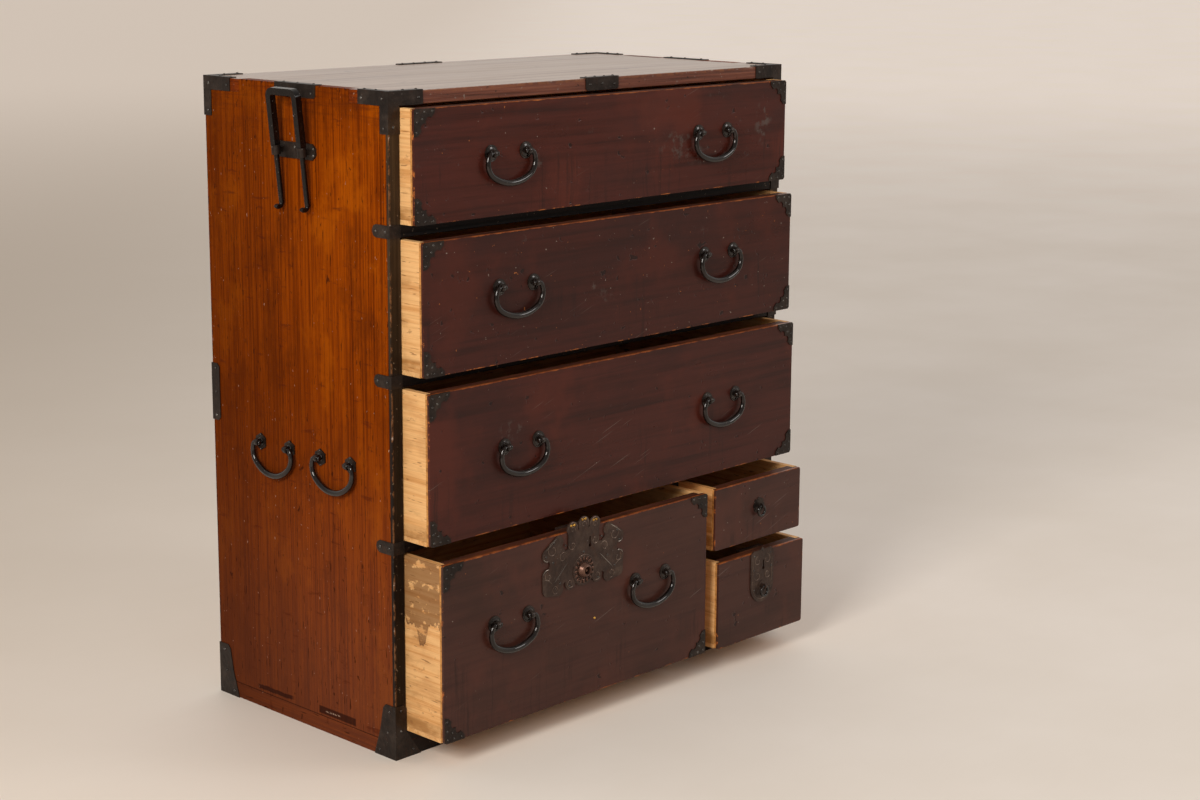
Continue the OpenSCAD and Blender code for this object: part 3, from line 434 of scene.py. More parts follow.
def front_lacquer(drawer, pulls, shift, warm, marks=()):
    """Dark red-brown lacquer on the face of one drawer, rubbed to the wood along its arrises; bare wood behind"""
    lo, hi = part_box(drawer + "_drawer_front")
    f = Finish(drawer + "_front_lacquer", rough=0.34, specular=0.2, coat=0.06, coat_rough=0.16)

    def figure(along, scale, *others):
        """Noise along the front that differs from drawer to drawer"""
        return f.noise(f.plus(f.times(along, scale), shift), *others)

    grain = figure(f.x, 2.4, 20.0, 64.0, 6.0, 0.62, 0.2)
    cloud = figure(f.x, 4.0, 10.0, 9.0, 5.0, 0.62)
    shades, smoky, red = WARM_FRONT if warm else DULL_FRONT
    f.colour = f.tones(grain, list(zip((0.28, 0.44, 0.56, 0.74), shades)))
    f.tint(smoky, cloud, 0.46, 0.68, 0.55)
    reddish = f.noise(f.plus(f.times(f.x, 7.0), shift + 3.0), 10.0, 6.0, 4.0, 0.62)
    f.tint(red, reddish, 0.5, 0.68, 0.6)
    if drawer in DARKER:
        f.cover(DARKER[drawer], "#230e0a")
    # runs of old varnish below the pulls
    sway = f.plus(f.x, f.times(f.noise(14.0, 10.0, 26.0, 3.0, 0.6), 0.012))
    runs = figure(sway, 120.0, 3.0, 3.0, 4.0, 0.66)
    where = figure(f.x, 11.0, 3.0, 7.0, 4.0, 0.6)
    run = f.times(f.ease(runs, 0.5, 0.66), f.ease(where, 0.45, 0.62))
    run = f.times(run, f.ease(f.z, lo.z + pulls, lo.z + pulls * 0.7))
    f.cover(f.times(run, 0.5), "#1f0f0c")
    # dull grey rubs, scratches and dark dents
    rubs = figure(f.x, 13.0, 10.0, 17.0, 5.0, 0.72)
    f.tint("#57504c", rubs, 0.66, 0.74, 0.34)
    blotch = figure(f.x, 75.0, 60.0, 75.0, 4.0, 0.7)
    for across, up, wide, tall, strength in marks:
        off_x = f.times(f.minus(f.x, lo.x + across * MM), 1000.0 / wide)
        off_z = f.times(f.minus(f.z, lo.z + up * MM), 1000.0 / tall)
        far = f.plus(f.times(off_x, off_x), f.times(off_z, off_z))
        smear = f.times(f.ease(far, 1.0, 0.1), f.ease(blotch, 0.5, 0.66))
        f.cover(f.times(smear, strength), "#5f5853")
    slant = f.plus(f.times(f.x, 0.94), f.times(f.z, 0.34))
    cross = f.plus(f.times(f.x, -0.34), f.times(f.z, 0.94))
    lines = figure(slant, 9.0, f.times(cross, 520.0), 2.0, 1.0, 0.5)
    field = figure(f.x, 6.0, 4.0, 8.0, 2.0, 0.5)
    f.cover(f.times(f.ease(lines, 0.7, 0.76), f.ease(field, 0.56, 0.66), 0.5), "#8a7c74")
    dents = figure(f.x, 55.0, 40.0, 70.0, 2.0, 0.5)
    f.tint("#180d0b", dents, 0.7, 0.735, 0.75)
    chips = figure(f.x, 150.0, 150.0, 150.0, 2.0, 0.5)
    f.tint("#a3602f", chips, 0.755, 0.775, 0.8)
    f.tint("#9a8c82", chips, 0.25, 0.235, 0.7)
    # rubbed arrises: a thin line along the top, chips along the bottom and the ends
    jag = figure(f.x, 42.0, 60.0, 60.0, 7.0, 0.74)
    to_top = f.minus(hi.z, f.z)
    to_foot = f.minus(f.z, lo.z)
    to_end = f.least(f.minus(f.x, lo.x), f.minus(hi.x, f.x))
    depth = f.minus(f.y, lo.y)
    wander = f.times(f.minus(jag, 0.5), 0.0045)
    top_line = f.ease(f.plus(to_top, wander), 0.0015, 0.0006)
    foot_line = f.times(f.ease(f.plus(to_foot, wander), 0.0013, 0.0004), f.ease(jag, 0.47, 0.41))
    end_line = f.times(f.ease(f.plus(to_end, wander), 0.001, 0.0003), f.ease(jag, 0.43, 0.38))
    rubbed = f.most(top_line, foot_line, end_line)
    f.cover(rubbed, f.tones(jag, [(0.35, "#a55f2c"), (0.5, "#8a451d"), (0.62, "#552714")]))
    # behind the face the board is bare, and its top face is darkened with painted shade
    lacquer = f.colour
    bare_wood(f, f.x, f.z, f.y, shift)
    ends = f.mixed(f.ease(f.noise(30.0, 60.0, 160.0, 4.0, 0.6), 0.4, 0.65), "#c48a4c", "#9a6836")
    f.cover(f.ease(to_end, 0.0045, 0.004), ends)
    # painted shade darkening the board's top face
    upper = f.tones(f.noise(9.0, 90.0, 20.0, 4.0, 0.62), [(0.35, "#33190f"), (0.55, "#512a1a"), (0.7, "#6b3c22")])
    f.cover(f.ease(to_top, 0.0012, 0.0006), upper)
    bare = f.ease(f.plus(depth, f.times(wander, 0.5)), 0.0036, 0.0046)
    f.colour = f.mixed(bare, lacquer, f.colour)
    f.set("Roughness", f.between(bare, f.between(f.ease(cloud, 0.3, 0.7), 0.26, 0.44), 0.6))
    return f.done(f.plus(f.times(grain, 0.5), f.times(f.ease(dents, 0.66, 0.73), -0.8)), 0.0005)


def black_lacquer(name, axis):
    """Brown-black lacquer on the rails and facings, rubbed on the arrises, with painted highlights along them"""
    f = Finish(name, rough=0.4, specular=0.16)
    grain = along_board(f, axis, 3.0, 150.0, 5.0)
    f.colour = f.tones(grain, BLACK_TONES)
    if axis == "Z":
        high = f.ease(f.z, 0.45, 0.85)
        f.cover(f.times(high, 0.75), f.tones(grain, [(0.3, "#2a1c12"), (0.7, "#52402c")]))
    rub = f.noise(90.0, 130.0, 60.0, 5.0, 0.7)
    arris = f.plus(f.apart(f.calc("ABSOLUTE", f.x), HALF_W), f.ease(f.y, -0.2145, -0.209))
    worn = f.times(f.ease(arris, 0.0035, 0.0008), f.ease(rub, 0.46, 0.56))
    f.cover(f.times(worn, 0.7), "#7d5230")
    # painted highlight: pale grey patches along the arrises
    painted_arris_highlight = f.times(f.ease(arris, 0.004, 0.001), f.ease(rub, 0.6, 0.66))
    f.cover(painted_arris_highlight, "#a89a90")
    specks = f.noise(220.0, 220.0, 160.0, 2.0)
    f.tint("#7a6a58", specks, 0.71, 0.74, 0.8)
    return f.done(f.plus(grain, f.times(rub, 0.6)), 0.0006)


def iron(name, tones, rough, hammered, rust=0.35, metal=0.6, coat=0.0, specular=0.4):
    """Black forged iron, with hammer marks and traces of rust"""
    f = Finish(name, rough=rough, specular=specular, metal=metal, coat=coat, coat_rough=0.06)
    marks = f.noise(150.0, 150.0, 150.0, 2.0, 0.5)
    skin = f.noise(38.0, 38.0, 38.0, 5.0, 0.7)
    f.colour = f.tones(skin, list(zip((0.3, 0.52, 0.72), tones)))
    rusty = f.noise(75.0, 75.0, 75.0, 4.0, 0.7)
    f.tint("#4a2a1a", rusty, 0.56, 0.72, rust)
    bright = f.noise(260.0, 260.0, 260.0, 2.0, 0.6)
    f.tint("#9a938c", bright, 0.7, 0.76, 0.5)
    f.set("Roughness", f.between(skin, rough * 0.75, min(1.0, rough * 1.3)))
    return f.done(marks, hammered)


def nail_brass():
    f = Finish("nail_brass", rough=0.3, metal=1.0)
    dull = f.noise(400.0, 400.0, 400.0, 2.0)
    f.set("Base Color", f.tones(dull, [(0.35, "#a07028"), (0.6, "#e8b75c")]))
    f.set("Roughness", f.between(dull, 0.22, 0.5))
    return f.mat


def bare_floor_wood(name, shift):
    f = Finish(name, rough=0.65, specular=0.3)
    rings = bare_wood(f, f.x, f.y, f.z, shift)
    dust = f.noise(9.0, 9.0, 9.0, 4.0, 0.6)
    f.tint("#9a7448", dust, 0.4, 0.75, 0.45)
    return f.done(rings, 0.0004)


# ---------- shapes made here ----------

def new_thing(name, data):
    thing = bpy.data.objects.new(name, data)
    bpy.context.scene.collection.objects.link(thing)
    return thing


def finished_mesh(name, thing):
    """A mesh of its own, as the object's modifiers leave it"""
    scene_state = bpy.context.evaluated_depsgraph_get()
    mesh = bpy.data.meshes.new_from_object(thing.evaluated_get(scene_state), depsgraph=scene_state)
    mesh.name = name
    return mesh


class Shape:
    """Points and faces gathered for one piece"""

    def __init__(self):
        self.points, self.faces = [], []

    def ring_strip(self, rings):
        """Joins rings of equally many points and closes both ends"""
        start, count = len(self.points), len(rings[0])
        for ring in rings:
            self.points += ring
        for r in range(len(rings) - 1):
            for k in range(count):
                a, b = start + r * count + k, start + r * count + (k + 1) % count
                self.faces.append((a, b, b + count, a + count))
        self.faces.append(tuple(start + k for k in reversed(range(count))))
        last = start + (len(rings) - 1) * count
        self.faces.append(tuple(last + k for k in range(count)))

    def bar(self, path, radii, side, sides=14):
        """A round bar along a path that lies across the direction 'side'"""
        rings = []
        for i, (point, radius) in enumerate(zip(path, radii)):
            before, after = path[max(i - 1, 0)], path[min(i + 1, len(path) - 1)]
            along = (after - before).normalized()
            out = along.cross(side).normalized()
            rings.append([point + (side * math.cos(t) + out * math.sin(t)) * radius
                          for t in (2 * math.pi * k / sides for k in range(sides))])
        self.ring_strip(rings)

    def turned(self, profile, turns, place=Matrix.Identity(4)):
        """A turned form; the profile gives (radius, height) in millimetres and height 0 is the seat"""
        place = place @ Matrix.Scale(MM, 4)
        rings = [[place @ Vector((r * math.cos(t), r * math.sin(t), h))
                  for t in (2 * math.pi * k / turns for k in range(turns))] for r, h in profile]
        self.ring_strip(rings)

    def mesh(self, name, smooth_angle=50):
        data = bpy.data.meshes.new(name)
        data.from_pydata([tuple(p) for p in self.points], [], self.faces)
        form = bmesh.new()
        form.from_mesh(data)
        bmesh.ops.remove_doubles(form, verts=form.verts, dist=1e-7)
        bmesh.ops.recalc_face_normals(form, faces=form.faces)
        form.to_mesh(data)
        form.free()
        for face in data.polygons:
            face.use_smooth = True
        data.set_sharp_from_angle(angle=math.radians(smooth_angle))
        return data


def place_piece(name, mesh, body, finish, stands_for=()):
    """Puts a finished mesh on the chest; it stands for the nodes it replaces"""
    piece = new_thing(name, mesh)
    mesh.materials.clear()
    mesh.materials.append(finish)
    if stands_for:
        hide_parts(*stands_for)
    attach(piece, body)
    return piece


def dress(node, finish):
    """Gives a built node its finish and leaves its form as it is"""
    NODES[node].data.materials.clear()
    NODES[node].data.materials.append(finish)


def eased(node, width, finish, angle=35):
    """A node's own form with its hard edges eased, as plane, file or wear leaves them"""
    form = bmesh.new()
    form.from_mesh(NODES[node].data)
    bmesh.ops.remove_doubles(form, verts=form.verts, dist=1e-6)
    bmesh.ops.dissolve_limit(form, angle_limit=math.radians(0.6), verts=form.verts, edges=form.edges)
    raw = bpy.data.meshes.new(node + "_raw")
    form.to_mesh(raw)
    form.free()
    for face in raw.polygons:
        face.use_smooth = True
    rough_piece = new_thing(node + "_raw", raw)
    soft = rough_piece.modifiers.new("soft", "BEVEL")
    soft.width, soft.segments, soft.limit_method = width, 2, "ANGLE"
    soft.angle_limit = math.radians(angle)
    soft.use_clamp_overlap = True
    even = rough_piece.modifiers.new("even", "WEIGHTED_NORMAL")
    even.keep_sharp = True
    mesh = finished_mesh(node + "_eased", rough_piece)
    bpy.data.objects.remove(rough_piece)
    return place_piece(node + "_eased", mesh, NODES[node]["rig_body"], finish, [node])


def own_faces(piece, edges, ends):
    """Gives the long edges of a board, and its ends, finishes of their own"""
    mesh = piece.data
    for finish, axis in ((edges, 1), (ends, 0)):
        if finish is None:
            continue
        mesh.materials.append(finish)
        for face in mesh.polygons:
            if abs(face.normal[axis]) > 0.75:
                face.material_index = len(mesh.materials) - 1


FACING = {"front": (90, 0, 0), "left": (90, 0, -90), "right": (90, 0, 90), "back": (90, 0, 180), "top": (0, 0, 0)}


class Seat:
    """A flat place on the chest: across, up and outwards from an origin"""

    def __init__(self, facing, origin):
        self.turn = Euler([math.radians(a) for a in FACING[facing]])
        self.origin = Vector(origin)
        self.outwards = (self.at(0, 0, 1) - self.origin).normalized()

    def at(self, across, up, out=0.0):
        return self.origin + self.turn.to_matrix() @ Vector((across, up, out))

    def matrix(self, across, up):
        return Matrix.Translation(self.at(across, up)) @ self.turn.to_matrix().to_4x4()


def repeat_tree():
    """Sets a pattern on every point of the geometry, turned by the point's own 'turn', a little uneven"""
    tree = bpy.data.node_groups.new("set_on_points", "GeometryNodeTree")
    sockets = {}
    for name, kind in (("Points", "Geometry"), ("Pattern", "Object"), ("Size", "Float"), ("Unevenness", "Float"),
                       ("Spin", "Float"), ("Seed", "Int"), ("Finish", "Material")):
        sockets[name] = tree.interface.new_socket(name=name, in_out="INPUT", socket_type="NodeSocket" + kind)
    tree.interface.new_socket(name="Geometry", in_out="OUTPUT", socket_type="NodeSocketGeometry")
    work = Nodes(tree)

    def made(kind, *values, **settings):
        """The first output in use of a new node"""
        return next(s for s in work.add(kind, *values, **settings).outputs if s.enabled)

    given = work.add("NodeGroupInput").outputs
    turn = made("GeometryNodeInputNamedAttribute", "turn", data_type="FLOAT_VECTOR")
    own_size = made("GeometryNodeInputNamedAttribute", "size", data_type="FLOAT")
    low = made("ShaderNodeMath", 1.0, given["Unevenness"], operation="SUBTRACT")
    high = made("ShaderNodeMath", 1.0, given["Unevenness"], operation="ADD")
    uneven = made("FunctionNodeRandomValue", low, high, None, given["Seed"], data_type="FLOAT")
    size = made("ShaderNodeMath", uneven, given["Size"], operation="MULTIPLY")
    size = made("ShaderNodeMath", size, own_size, operation="MULTIPLY")
    spin = made("FunctionNodeRandomValue", None, given["Spin"], None, given["Seed"], data_type="FLOAT")
    spin = made("FunctionNodeEulerToRotation", made("ShaderNodeCombineXYZ", None, None, spin))
    turn = made("FunctionNodeRotateRotation", made("FunctionNodeEulerToRotation", turn), spin, rotation_space="LOCAL")
    copies = work.add("GeometryNodeInstanceOnPoints", given["Points"])
    pattern = work.add("GeometryNodeObjectInfo", given["Pattern"]).outputs["Geometry"]
    for socket, value in (("Instance", pattern), ("Rotation", turn), ("Scale", size)):
        work.put(copies.inputs[socket], value)
    finish = work.add("GeometryNodeSetMaterial", made("GeometryNodeRealizeInstances", copies.outputs[0]))
    work.put(finish.inputs["Material"], given["Finish"])
    work.add("NodeGroupOutput", finish.outputs[0])
    return tree, {name: s.identifier for name, s in sockets.items()}


REPEAT, REPEAT_INPUT = repeat_tree()


def set_on_points(name, pattern, spots, body, finish, size=1.0, unevenness=0.0, spin=0.0, seed=1):
    """One mesh of a pattern repeated at (position, turn, size) spots"""
    points = bpy.data.meshes.new(name + "_points")
    points.from_pydata([tuple(p) for p, _, _ in spots], [], [])
    points.attributes.new("turn", "FLOAT_VECTOR", "POINT")
    points.attributes.new("size", "FLOAT", "POINT")
    turns, sizes = points.attributes["turn"], points.attributes["size"]
    for i, (_, turn, own_size) in enumerate(spots):
        turns.data[i].vector = tuple(turn)
        sizes.data[i].value = own_size
    holder, model = new_thing(name + "_points", points), new_thing(name + "_pattern", pattern)
    modifier = holder.modifiers.new("set_on_points", "NODES")
    modifier.node_group = REPEAT
    for key, value in (("Pattern", model), ("Size", size), ("Unevenness", unevenness), ("Spin", spin),
                       ("Seed", seed), ("Finish", finish)):
        modifier[REPEAT_INPUT[key]] = value
    mesh = finished_mesh(name, holder)
    holder.modifiers.remove(modifier)
    for o in (holder, model):
        bpy.data.objects.remove(o)
    for extra in ("turn", "size"):
        if extra in mesh.attributes:
            mesh.attributes.remove(mesh.attributes[extra])
    return place_piece(name, mesh, body, finish)


# ---------- finishes in use ----------

SIDE = side_lacquer("side_lacquer", "Z")
FOOT = side_lacquer("foot_lacquer", "Y")
TOP = top_lacquer()
TOP_EDGE = long_edge_lacquer("top_edge_lacquer", TALL - TOP_THICK, TOP_THICK)
FINGERS = end_grain_lacquer()
BLACK = black_lacquer("black_lacquer", "Z")
RAIL = black_lacquer("rail_lacquer", "X")
INNER = inner_wood("inner_wood", "X")
back_lo, back_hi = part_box("back_planks")
BACK = inner_wood("back_wood", "X", 4, back_lo.z, back_hi.z)
DIVIDER = inner_wood("divider_wood", "Y", front=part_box("divider")[0].y)
IRON = iron("sheet_iron", ("#1f1815", "#2f2621", "#443932"), 0.42, 0.0005)
BAIL_IRON = iron("bail_iron", ("#0c0706", "#140d0a", "#1f1511"), 0.2, 0.00012, 0.2, 0.1, 0.8, 0.12)
HANDLE_IRON = iron("handle_iron", ("#0b0807", "#120d0b", "#1c1512"), 0.26, 0.0006, 0.15, 0.1, 0.3, 0.12)
PLATE = iron("plate_iron", ("#2c1f1a", "#41312a", "#58473d"), 0.38, 0.0008, 0.5, 0.4, 0.0, 0.3)
CHASED = iron("chased_iron", ("#4a3b32", "#6d5b50", "#8d7b6e"), 0.34, 0.0002, 0.4, 0.6, 0.0, 0.4)
COPPER = iron("boss_copper", ("#3f2a23", "#5c4035", "#7c5c4d"), 0.32, 0.0002, 0.2, 0.6, 0.0, 0.4)
# pale iron for worn rims, its pale tone also a painted highlight on their raised edges
WORN_AND_HIGHLIT_IRON = iron("worn_and_highlit_iron", ("#5d544c", "#8a8078", "#aaa198"), 0.26, 0.0002, 0.2, 0.85)
NAIL_IRON = iron("nail_iron", ("#2b2826", "#4a4643", "#77726d"), 0.24, 0.0001, 0.1)
BRASS = nail_brass()

# ---------- boards ----------

for side in SIDES:
    eased("side_board_" + side, 0.9 * MM, SIDE)
own_faces(eased("top_board", 1.1 * MM, TOP), TOP_EDGE, FINGERS)
own_faces(eased("bottom_board", 0.8 * MM, FOOT), RAIL, None)
eased("stile_facings", 0.8 * MM, BLACK)
eased("front_rails", 0.7 * MM, RAIL)
for node, finish in (("back_planks", BACK), ("dust_boards", INNER), ("runners", INNER),
                     ("divider", DIVIDER), ("small_shelf", RAIL)):
    dress(node, finish)

# dull marks on the faces: across, up, half width, half height in millimetres, and strength
SCUFFS = {"top": ((560, 78, 50, 30, 0.5), (612, 60, 34, 24, 0.45), (775, 100, 26, 44, 0.55), (250, 72, 14, 15, 0.5)),
          "third": ((165, 150, 30, 20, 0.4),), "second": ((352, 96, 20, 8, 0.5),)}
PULL_SHARE = {"top": 0.094, "second": 0.117, "third": 0.127, "wide": 0.163, "narrow": 0.05, "small": 0.06}
for i, drawer in enumerate(DRAWERS):
    finish = front_lacquer(drawer, PULL_SHARE[drawer], 1.7 * i, i < 3, SCUFFS.get(drawer, ()))
    eased(drawer + "_drawer_front", 0.8 * MM, finish)
    wood = drawer_box_wood(drawer + "_box_wood", drawer + "_drawer_box", drawer == "wide", 2.3 * i)
    eased(drawer + "_drawer_box", 0.7 * MM, wood)
    dress(drawer + "_drawer_floor", bare_floor_wood(drawer + "_floor_wood", 3.1 * i))

# ---------- ironwork ----------

for node in (["top_corner_irons", "base_corner_irons", "edge_straps", "side_irons_left", "side_irons_right"]
             + [d + "_drawer_irons" for d in DRAWERS if d != "small"] + ["wide_lock_bolt", "small_lock_bolt"]):
    dress(node, IRON)
for node in ("small_drawer_irons", "wide_lock"):
    dress(node, PLATE)
for node in ("narrow_ring", "small_ring"):
    dress(node, BAIL_IRON)
for side in SIDES:
    eased("carry_handle_" + side, 1.8 * MM, HANDLE_IRON, 40)


# the knob that keeps a bail's end in its eye: place along the pivot's line and radius, in millimetres
KNOB = ((3.9, 2.9), (3.5, 3.8), (2.2, 4.1), (0.9, 3.7), (0.2, 2.3), (0.0, 0.8))
# the eye's width, and the radius of the bend that turns a bail's arm into the eye
EYE_W, ELBOW_R = 7 * MM, 6 * MM


def bail_line(half_w, drop, corner_r):
    """Half of a bail's centreline from the belly's lowest point to the knob inside the eye, with radii"""
    bow = half_w - BAIL_BAR
    belly_bar = BAIL_BAR + 0.3 * MM
    elbow_x = POST_HALF_SPAN + EYE_W / 2 + 1 * MM
    lean = math.acos((elbow_x - bow + corner_r) / (corner_r - ELBOW_R))
    corner_x = bow - corner_r
    corner_z = -ELBOW_R - (corner_r - ELBOW_R) * math.sin(lean)
    turn = 2 * math.atan((corner_z + drop - belly_bar - corner_r) / corner_x)
    belly_r = corner_x / math.sin(turn) + corner_r
    belly_z = belly_bar - drop + belly_r
    line = []
    quarter = math.pi / 2

    def arc(cx, cz, r, a0, a1, steps):
        for k in range(steps):
            a = a0 + (a1 - a0) * k / steps
            line.append((cx + r * math.cos(a), cz + r * math.sin(a)))

    arc(0, belly_z, belly_r, -quarter, turn - quarter, 10)
    arc(corner_x, corner_z, corner_r, turn - quarter, lean, 16)
    arc(elbow_x, -ELBOW_R, ELBOW_R, lean, quarter, 7)
    knob = POST_HALF_SPAN - EYE_W / 2 - 4.5 * MM
    line += [(elbow_x + (knob + 2.2 * MM - elbow_x) * k / 4, 0.0) for k in range(4)]
    radii = []
    lengths = [0.0]
    for a, b in zip(line, line[1:]):
        lengths.append(lengths[-1] + math.dist(a, b))
    for at in lengths:
        share = at / lengths[-1]
        radii.append((5.0 - 1.9 * max(0.0, share - 0.25) ** 1.25 / 0.75 ** 1.25) * MM)
    for dx, r in KNOB:
        line.append((knob + dx * MM, 0.0))
        radii.append(r * MM)
    return line, radii


def forged_bail(node, facing):
    lo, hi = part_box(node)
    middle = (lo + hi) / 2
    middle.z = hi.z - BAIL_BAR
    seat = Seat(facing, middle)
    half_w = ((hi.x - lo.x) if facing == "front" else (hi.y - lo.y)) / 2
    drop = middle.z - lo.z
    corner_r = (24 if facing == "front" else 26) * MM
    line, radii = bail_line(half_w, drop, corner_r)
    path = [(-x, z) for x, z in reversed(line[1:])] + line
    thick = list(reversed(radii[1:])) + radii
    shape = Shape()
    shape.bar([seat.at(x, z) for x, z in path], thick, seat.outwards)
    place_piece(node + "_forged", shape.mesh(node + "_forged", 60), node, BAIL_IRON, [node])
    return seat


# turned profiles: radius and height in millimetres; a rosette's are shares of its own radius and height
ROSETTE = ((0.25, -0.05), (1.0, -0.05), (1.02, 0.25), (1.0, 0.45), (0.94, 0.55), (0.88, 0.5), (0.84, 0.42),
           (0.74, 0.62), (0.55, 0.86), (0.38, 0.98), (0.3, 1.0))
EYE = ((3.2, -4.1), (4.7, -3.8), (5.4, -2.6), (5.8, 0.0), (5.4, 2.6), (4.7, 3.8), (3.2, 4.1))
NAIL_HEAD = ((2.3, -0.4), (2.3, 0.25), (1.8, 0.9), (1.0, 1.25), (0.3, 1.35))
PETAL = ((3.3, -0.3), (3.3, 0.5), (2.4, 1.3), (1.0, 1.7), (0.3, 1.75))
BOSS = ((12.4, 0), (12.6, 2.2), (11.6, 3.4), (10.6, 6.0), (9.0, 8.6), (7.0, 9.4), (6.2, 8.8), (6.0, 2.6),
        (2.0, 2.6), (1.8, 6.6), (0.5, 7.2))


def post_pattern(domed_r, height):
    """Turned rosette with its eye, from a radius and height in millimetres; the eye lies along X"""
    shape = Shape()
    shape.turned([(domed_r * r, height * h) for r, h in ROSETTE], 22)
    shape.turned(((3.6, height * 0.6), (3.5, height), (3.9, POST_PROUD / MM - 3.4)), 12)
    shape.turned(EYE, 16, Matrix.Translation((0, 0, POST_PROUD)) @ Matrix.Rotation(math.radians(90), 4, "Y"))
    return shape.mesh("post_pattern", 45)


def turned_mesh(name, profile, turns, smooth_angle=50, place=Matrix.Identity(4)):
    shape = Shape()
    shape.turned(profile, turns, place)
    return shape.mesh(name, smooth_angle)


NAIL = turned_mesh("nail_pattern", NAIL_HEAD, 10, 60)
nails = {}


def nail(body, seat, *spots, size=1.0):
    for across, up in spots:
        nails.setdefault(body, []).append((seat.at(across * MM, up * MM), seat.turn, size))


posts = {}
for drawer in WIDE_DRAWERS:
    for side in SIDES:
        seat = forged_bail(f"{drawer}_bail_{side}", "front")
        for dx in (-POST_HALF_SPAN, POST_HALF_SPAN):
            posts.setdefault(drawer + "_drawer", []).append((seat.at(dx, 0, -POST_PROUD), seat.turn, 1.0))
side_posts = []
for side in SIDES:
    for name in ("front", "rear"):
        seat = forged_bail(f"side_bail_{side}_{name}", side)
        for dx in (-POST_HALF_SPAN, POST_HALF_SPAN):
            side_posts.append((seat.at(dx, 0, -POST_PROUD), seat.turn, 1.0))
            plate = Seat(side, seat.at(dx, 0, 2 * MM - POST_PROUD))
            nail("case", plate, (0, 11.2), (0, -11.2), size=0.7)
for body, spots in posts.items():
    set_on_points(body + "_rosettes", post_pattern(12.5, 3.0), spots, body, BAIL_IRON)
set_on_points("side_rosettes", post_pattern(9.4, 3.0), side_posts, "case", BAIL_IRON)

# nails in the drawers' corner irons
CORNER_NAILS = ((6, 6), (19, 5), (34, 4.5), (5, 19), (4.5, 34), (15, 15))
for drawer in WIDE_DRAWERS:
    lo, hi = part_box(drawer + "_drawer_front")
    face = Seat("front", (0, lo.y - SHEET, 0))
    for x, sx in ((lo.x, 1), (hi.x, -1)):
        for z, sz in ((lo.z, 1), (hi.z, -1)):
            nail(drawer + "_drawer", face, *[(x / MM + sx * a, z / MM + sz * b) for a, b in CORNER_NAILS], size=0.8)

# nails in the straps of the case, in millimetres; the carrying handle's middle lies behind the front edge
DEEP, HIGH = HALF_D / MM, TALL / MM
CARRY_BACK, BRACKET_UP = 209, 902
RAIL_STRAPS, REAR_STRAP = (328.8, 579.7, 800.0), (540, 502, 464)
FOOT_NAILS, FRONT_FOOT_NAILS = ((12, 74), (17, 40), (36, 9)), ((10, 76), (10, 44), (34, 10))
for sx, flank in ((-1, "left"), (1, "right")):
    for sy, end in ((-1, "front"), (1, "back")):
        side_face = Seat(flank, (sx * (HALF_W + SHEET), sy * HALF_D, 0))
        into = 1 if (sx < 0) == (sy > 0) else -1
        front_face = Seat(end, (sx * HALF_W, sy * (HALF_D + SHEET), 0))
        inward = 1 if (sx < 0) == (sy < 0) else -1
        top_face = Seat("top", (sx * HALF_W, sy * HALF_D, TALL + SHEET))
        nail("case", side_face, (into * 57, HIGH - 11), (into * 12, HIGH - 10), (into * 9, HIGH - 52))
        nail("case", front_face, (inward * 57, HIGH - 10), (inward * 9, HIGH - 50))
        nail("case", top_face, (-sx * 58, -sy * 6), (-sx * 33, -sy * 6), (-sx * 6, -sy * 58), (-sx * 6, -sy * 33))
        nail("case", side_face, *[(into * a, up) for a, up in FOOT_NAILS])
        nail("case", front_face, *[(inward * a, up) for a, up in (FRONT_FOOT_NAILS if sy < 0 else FOOT_NAILS)])
        if sy > 0:
            nail("case", side_face, *[(into * 9, up) for up in REAR_STRAP])
            nail("case", front_face, *[(inward * 9, up) for up in REAR_STRAP])
    face = Seat(flank, (sx * (HALF_W + SHEET), 0, 0))
    across = 1 if sx < 0 else -1
    for up in RAIL_STRAPS:
        nail("case", face, (across * (DEEP - 29), up), (across * (DEEP - 8), up))
    strap = across * (DEEP - CARRY_BACK)
    nail("case", face, (strap - 38, HIGH - 8), (strap + 38, HIGH - 12))
    bracket = Seat(flank, (sx * (HALF_W + BRACKET_SHEET), 0, 0))
    nail("case", bracket, *[(strap + dx, BRACKET_UP + dz) for dx in (-43, 43) for dz in (5, -5)],
         (strap, BRACKET_UP + 5))
    nail("case", Seat("top", (sx * HALF_W, 0, TALL + SHEET)),
         *[(-sx * 6, CARRY_BACK - DEEP + d) for d in (-36, 2, 34)])
nail("case", Seat("front", (0, -HALF_D - SHEET, 0)), (-27, HIGH - 10), (0, HIGH - 9), (27, HIGH - 11))
nail("case", Seat("back", (0, HALF_D + SHEET, 0)), (-36, HIGH - 10), (0, HIGH - 9), (36, HIGH - 11))
nail("case", Seat("top", (0, 0, TALL + SHEET)), *[(a, 6 - DEEP) for a in (-30, -10, 11, 30)],
     *[(a, DEEP - 6) for a in (-38, -13, 12, 38)])

# ---------- lock plates ----------

LOBE_PITCH, BOSS_DOWN, PETAL_RING = 24.5, 67, 18.5
lo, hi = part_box("wide_drawer_front")
lock_seat = Seat("front", ((lo.x + hi.x) / 2, lo.y - LOCK_SHEET, hi.z))
nail("wide_drawer", lock_seat, (75, -18), (53, -54), (-66, -11), (-67, -42), (-40, -20), (40, -21), (-52, -78),
     (70, -74), (32, -86), (-32, -86), (0, -38), (-82, -30), (80, -34), size=0.8)
# two brass nails on each of the three lobes over the drawer's edge
brass = [(lock_seat.at((k * LOBE_PITCH + d) * MM, (9 if k else 14.5) * MM), lock_seat.turn, 0.95)
         for k in (-1, 0, 1) for d in (-3.2, 3.2)]
# and one in the drawer's face, well below the plate
brass.append((lock_seat.at(27 * MM, -152 * MM, -LOCK_SHEET), lock_seat.turn, 0.9))
set_on_points("lock_brass_nails", NAIL, brass, "wide_drawer", BRASS, 1.0, 0.1, 6.28, 5)


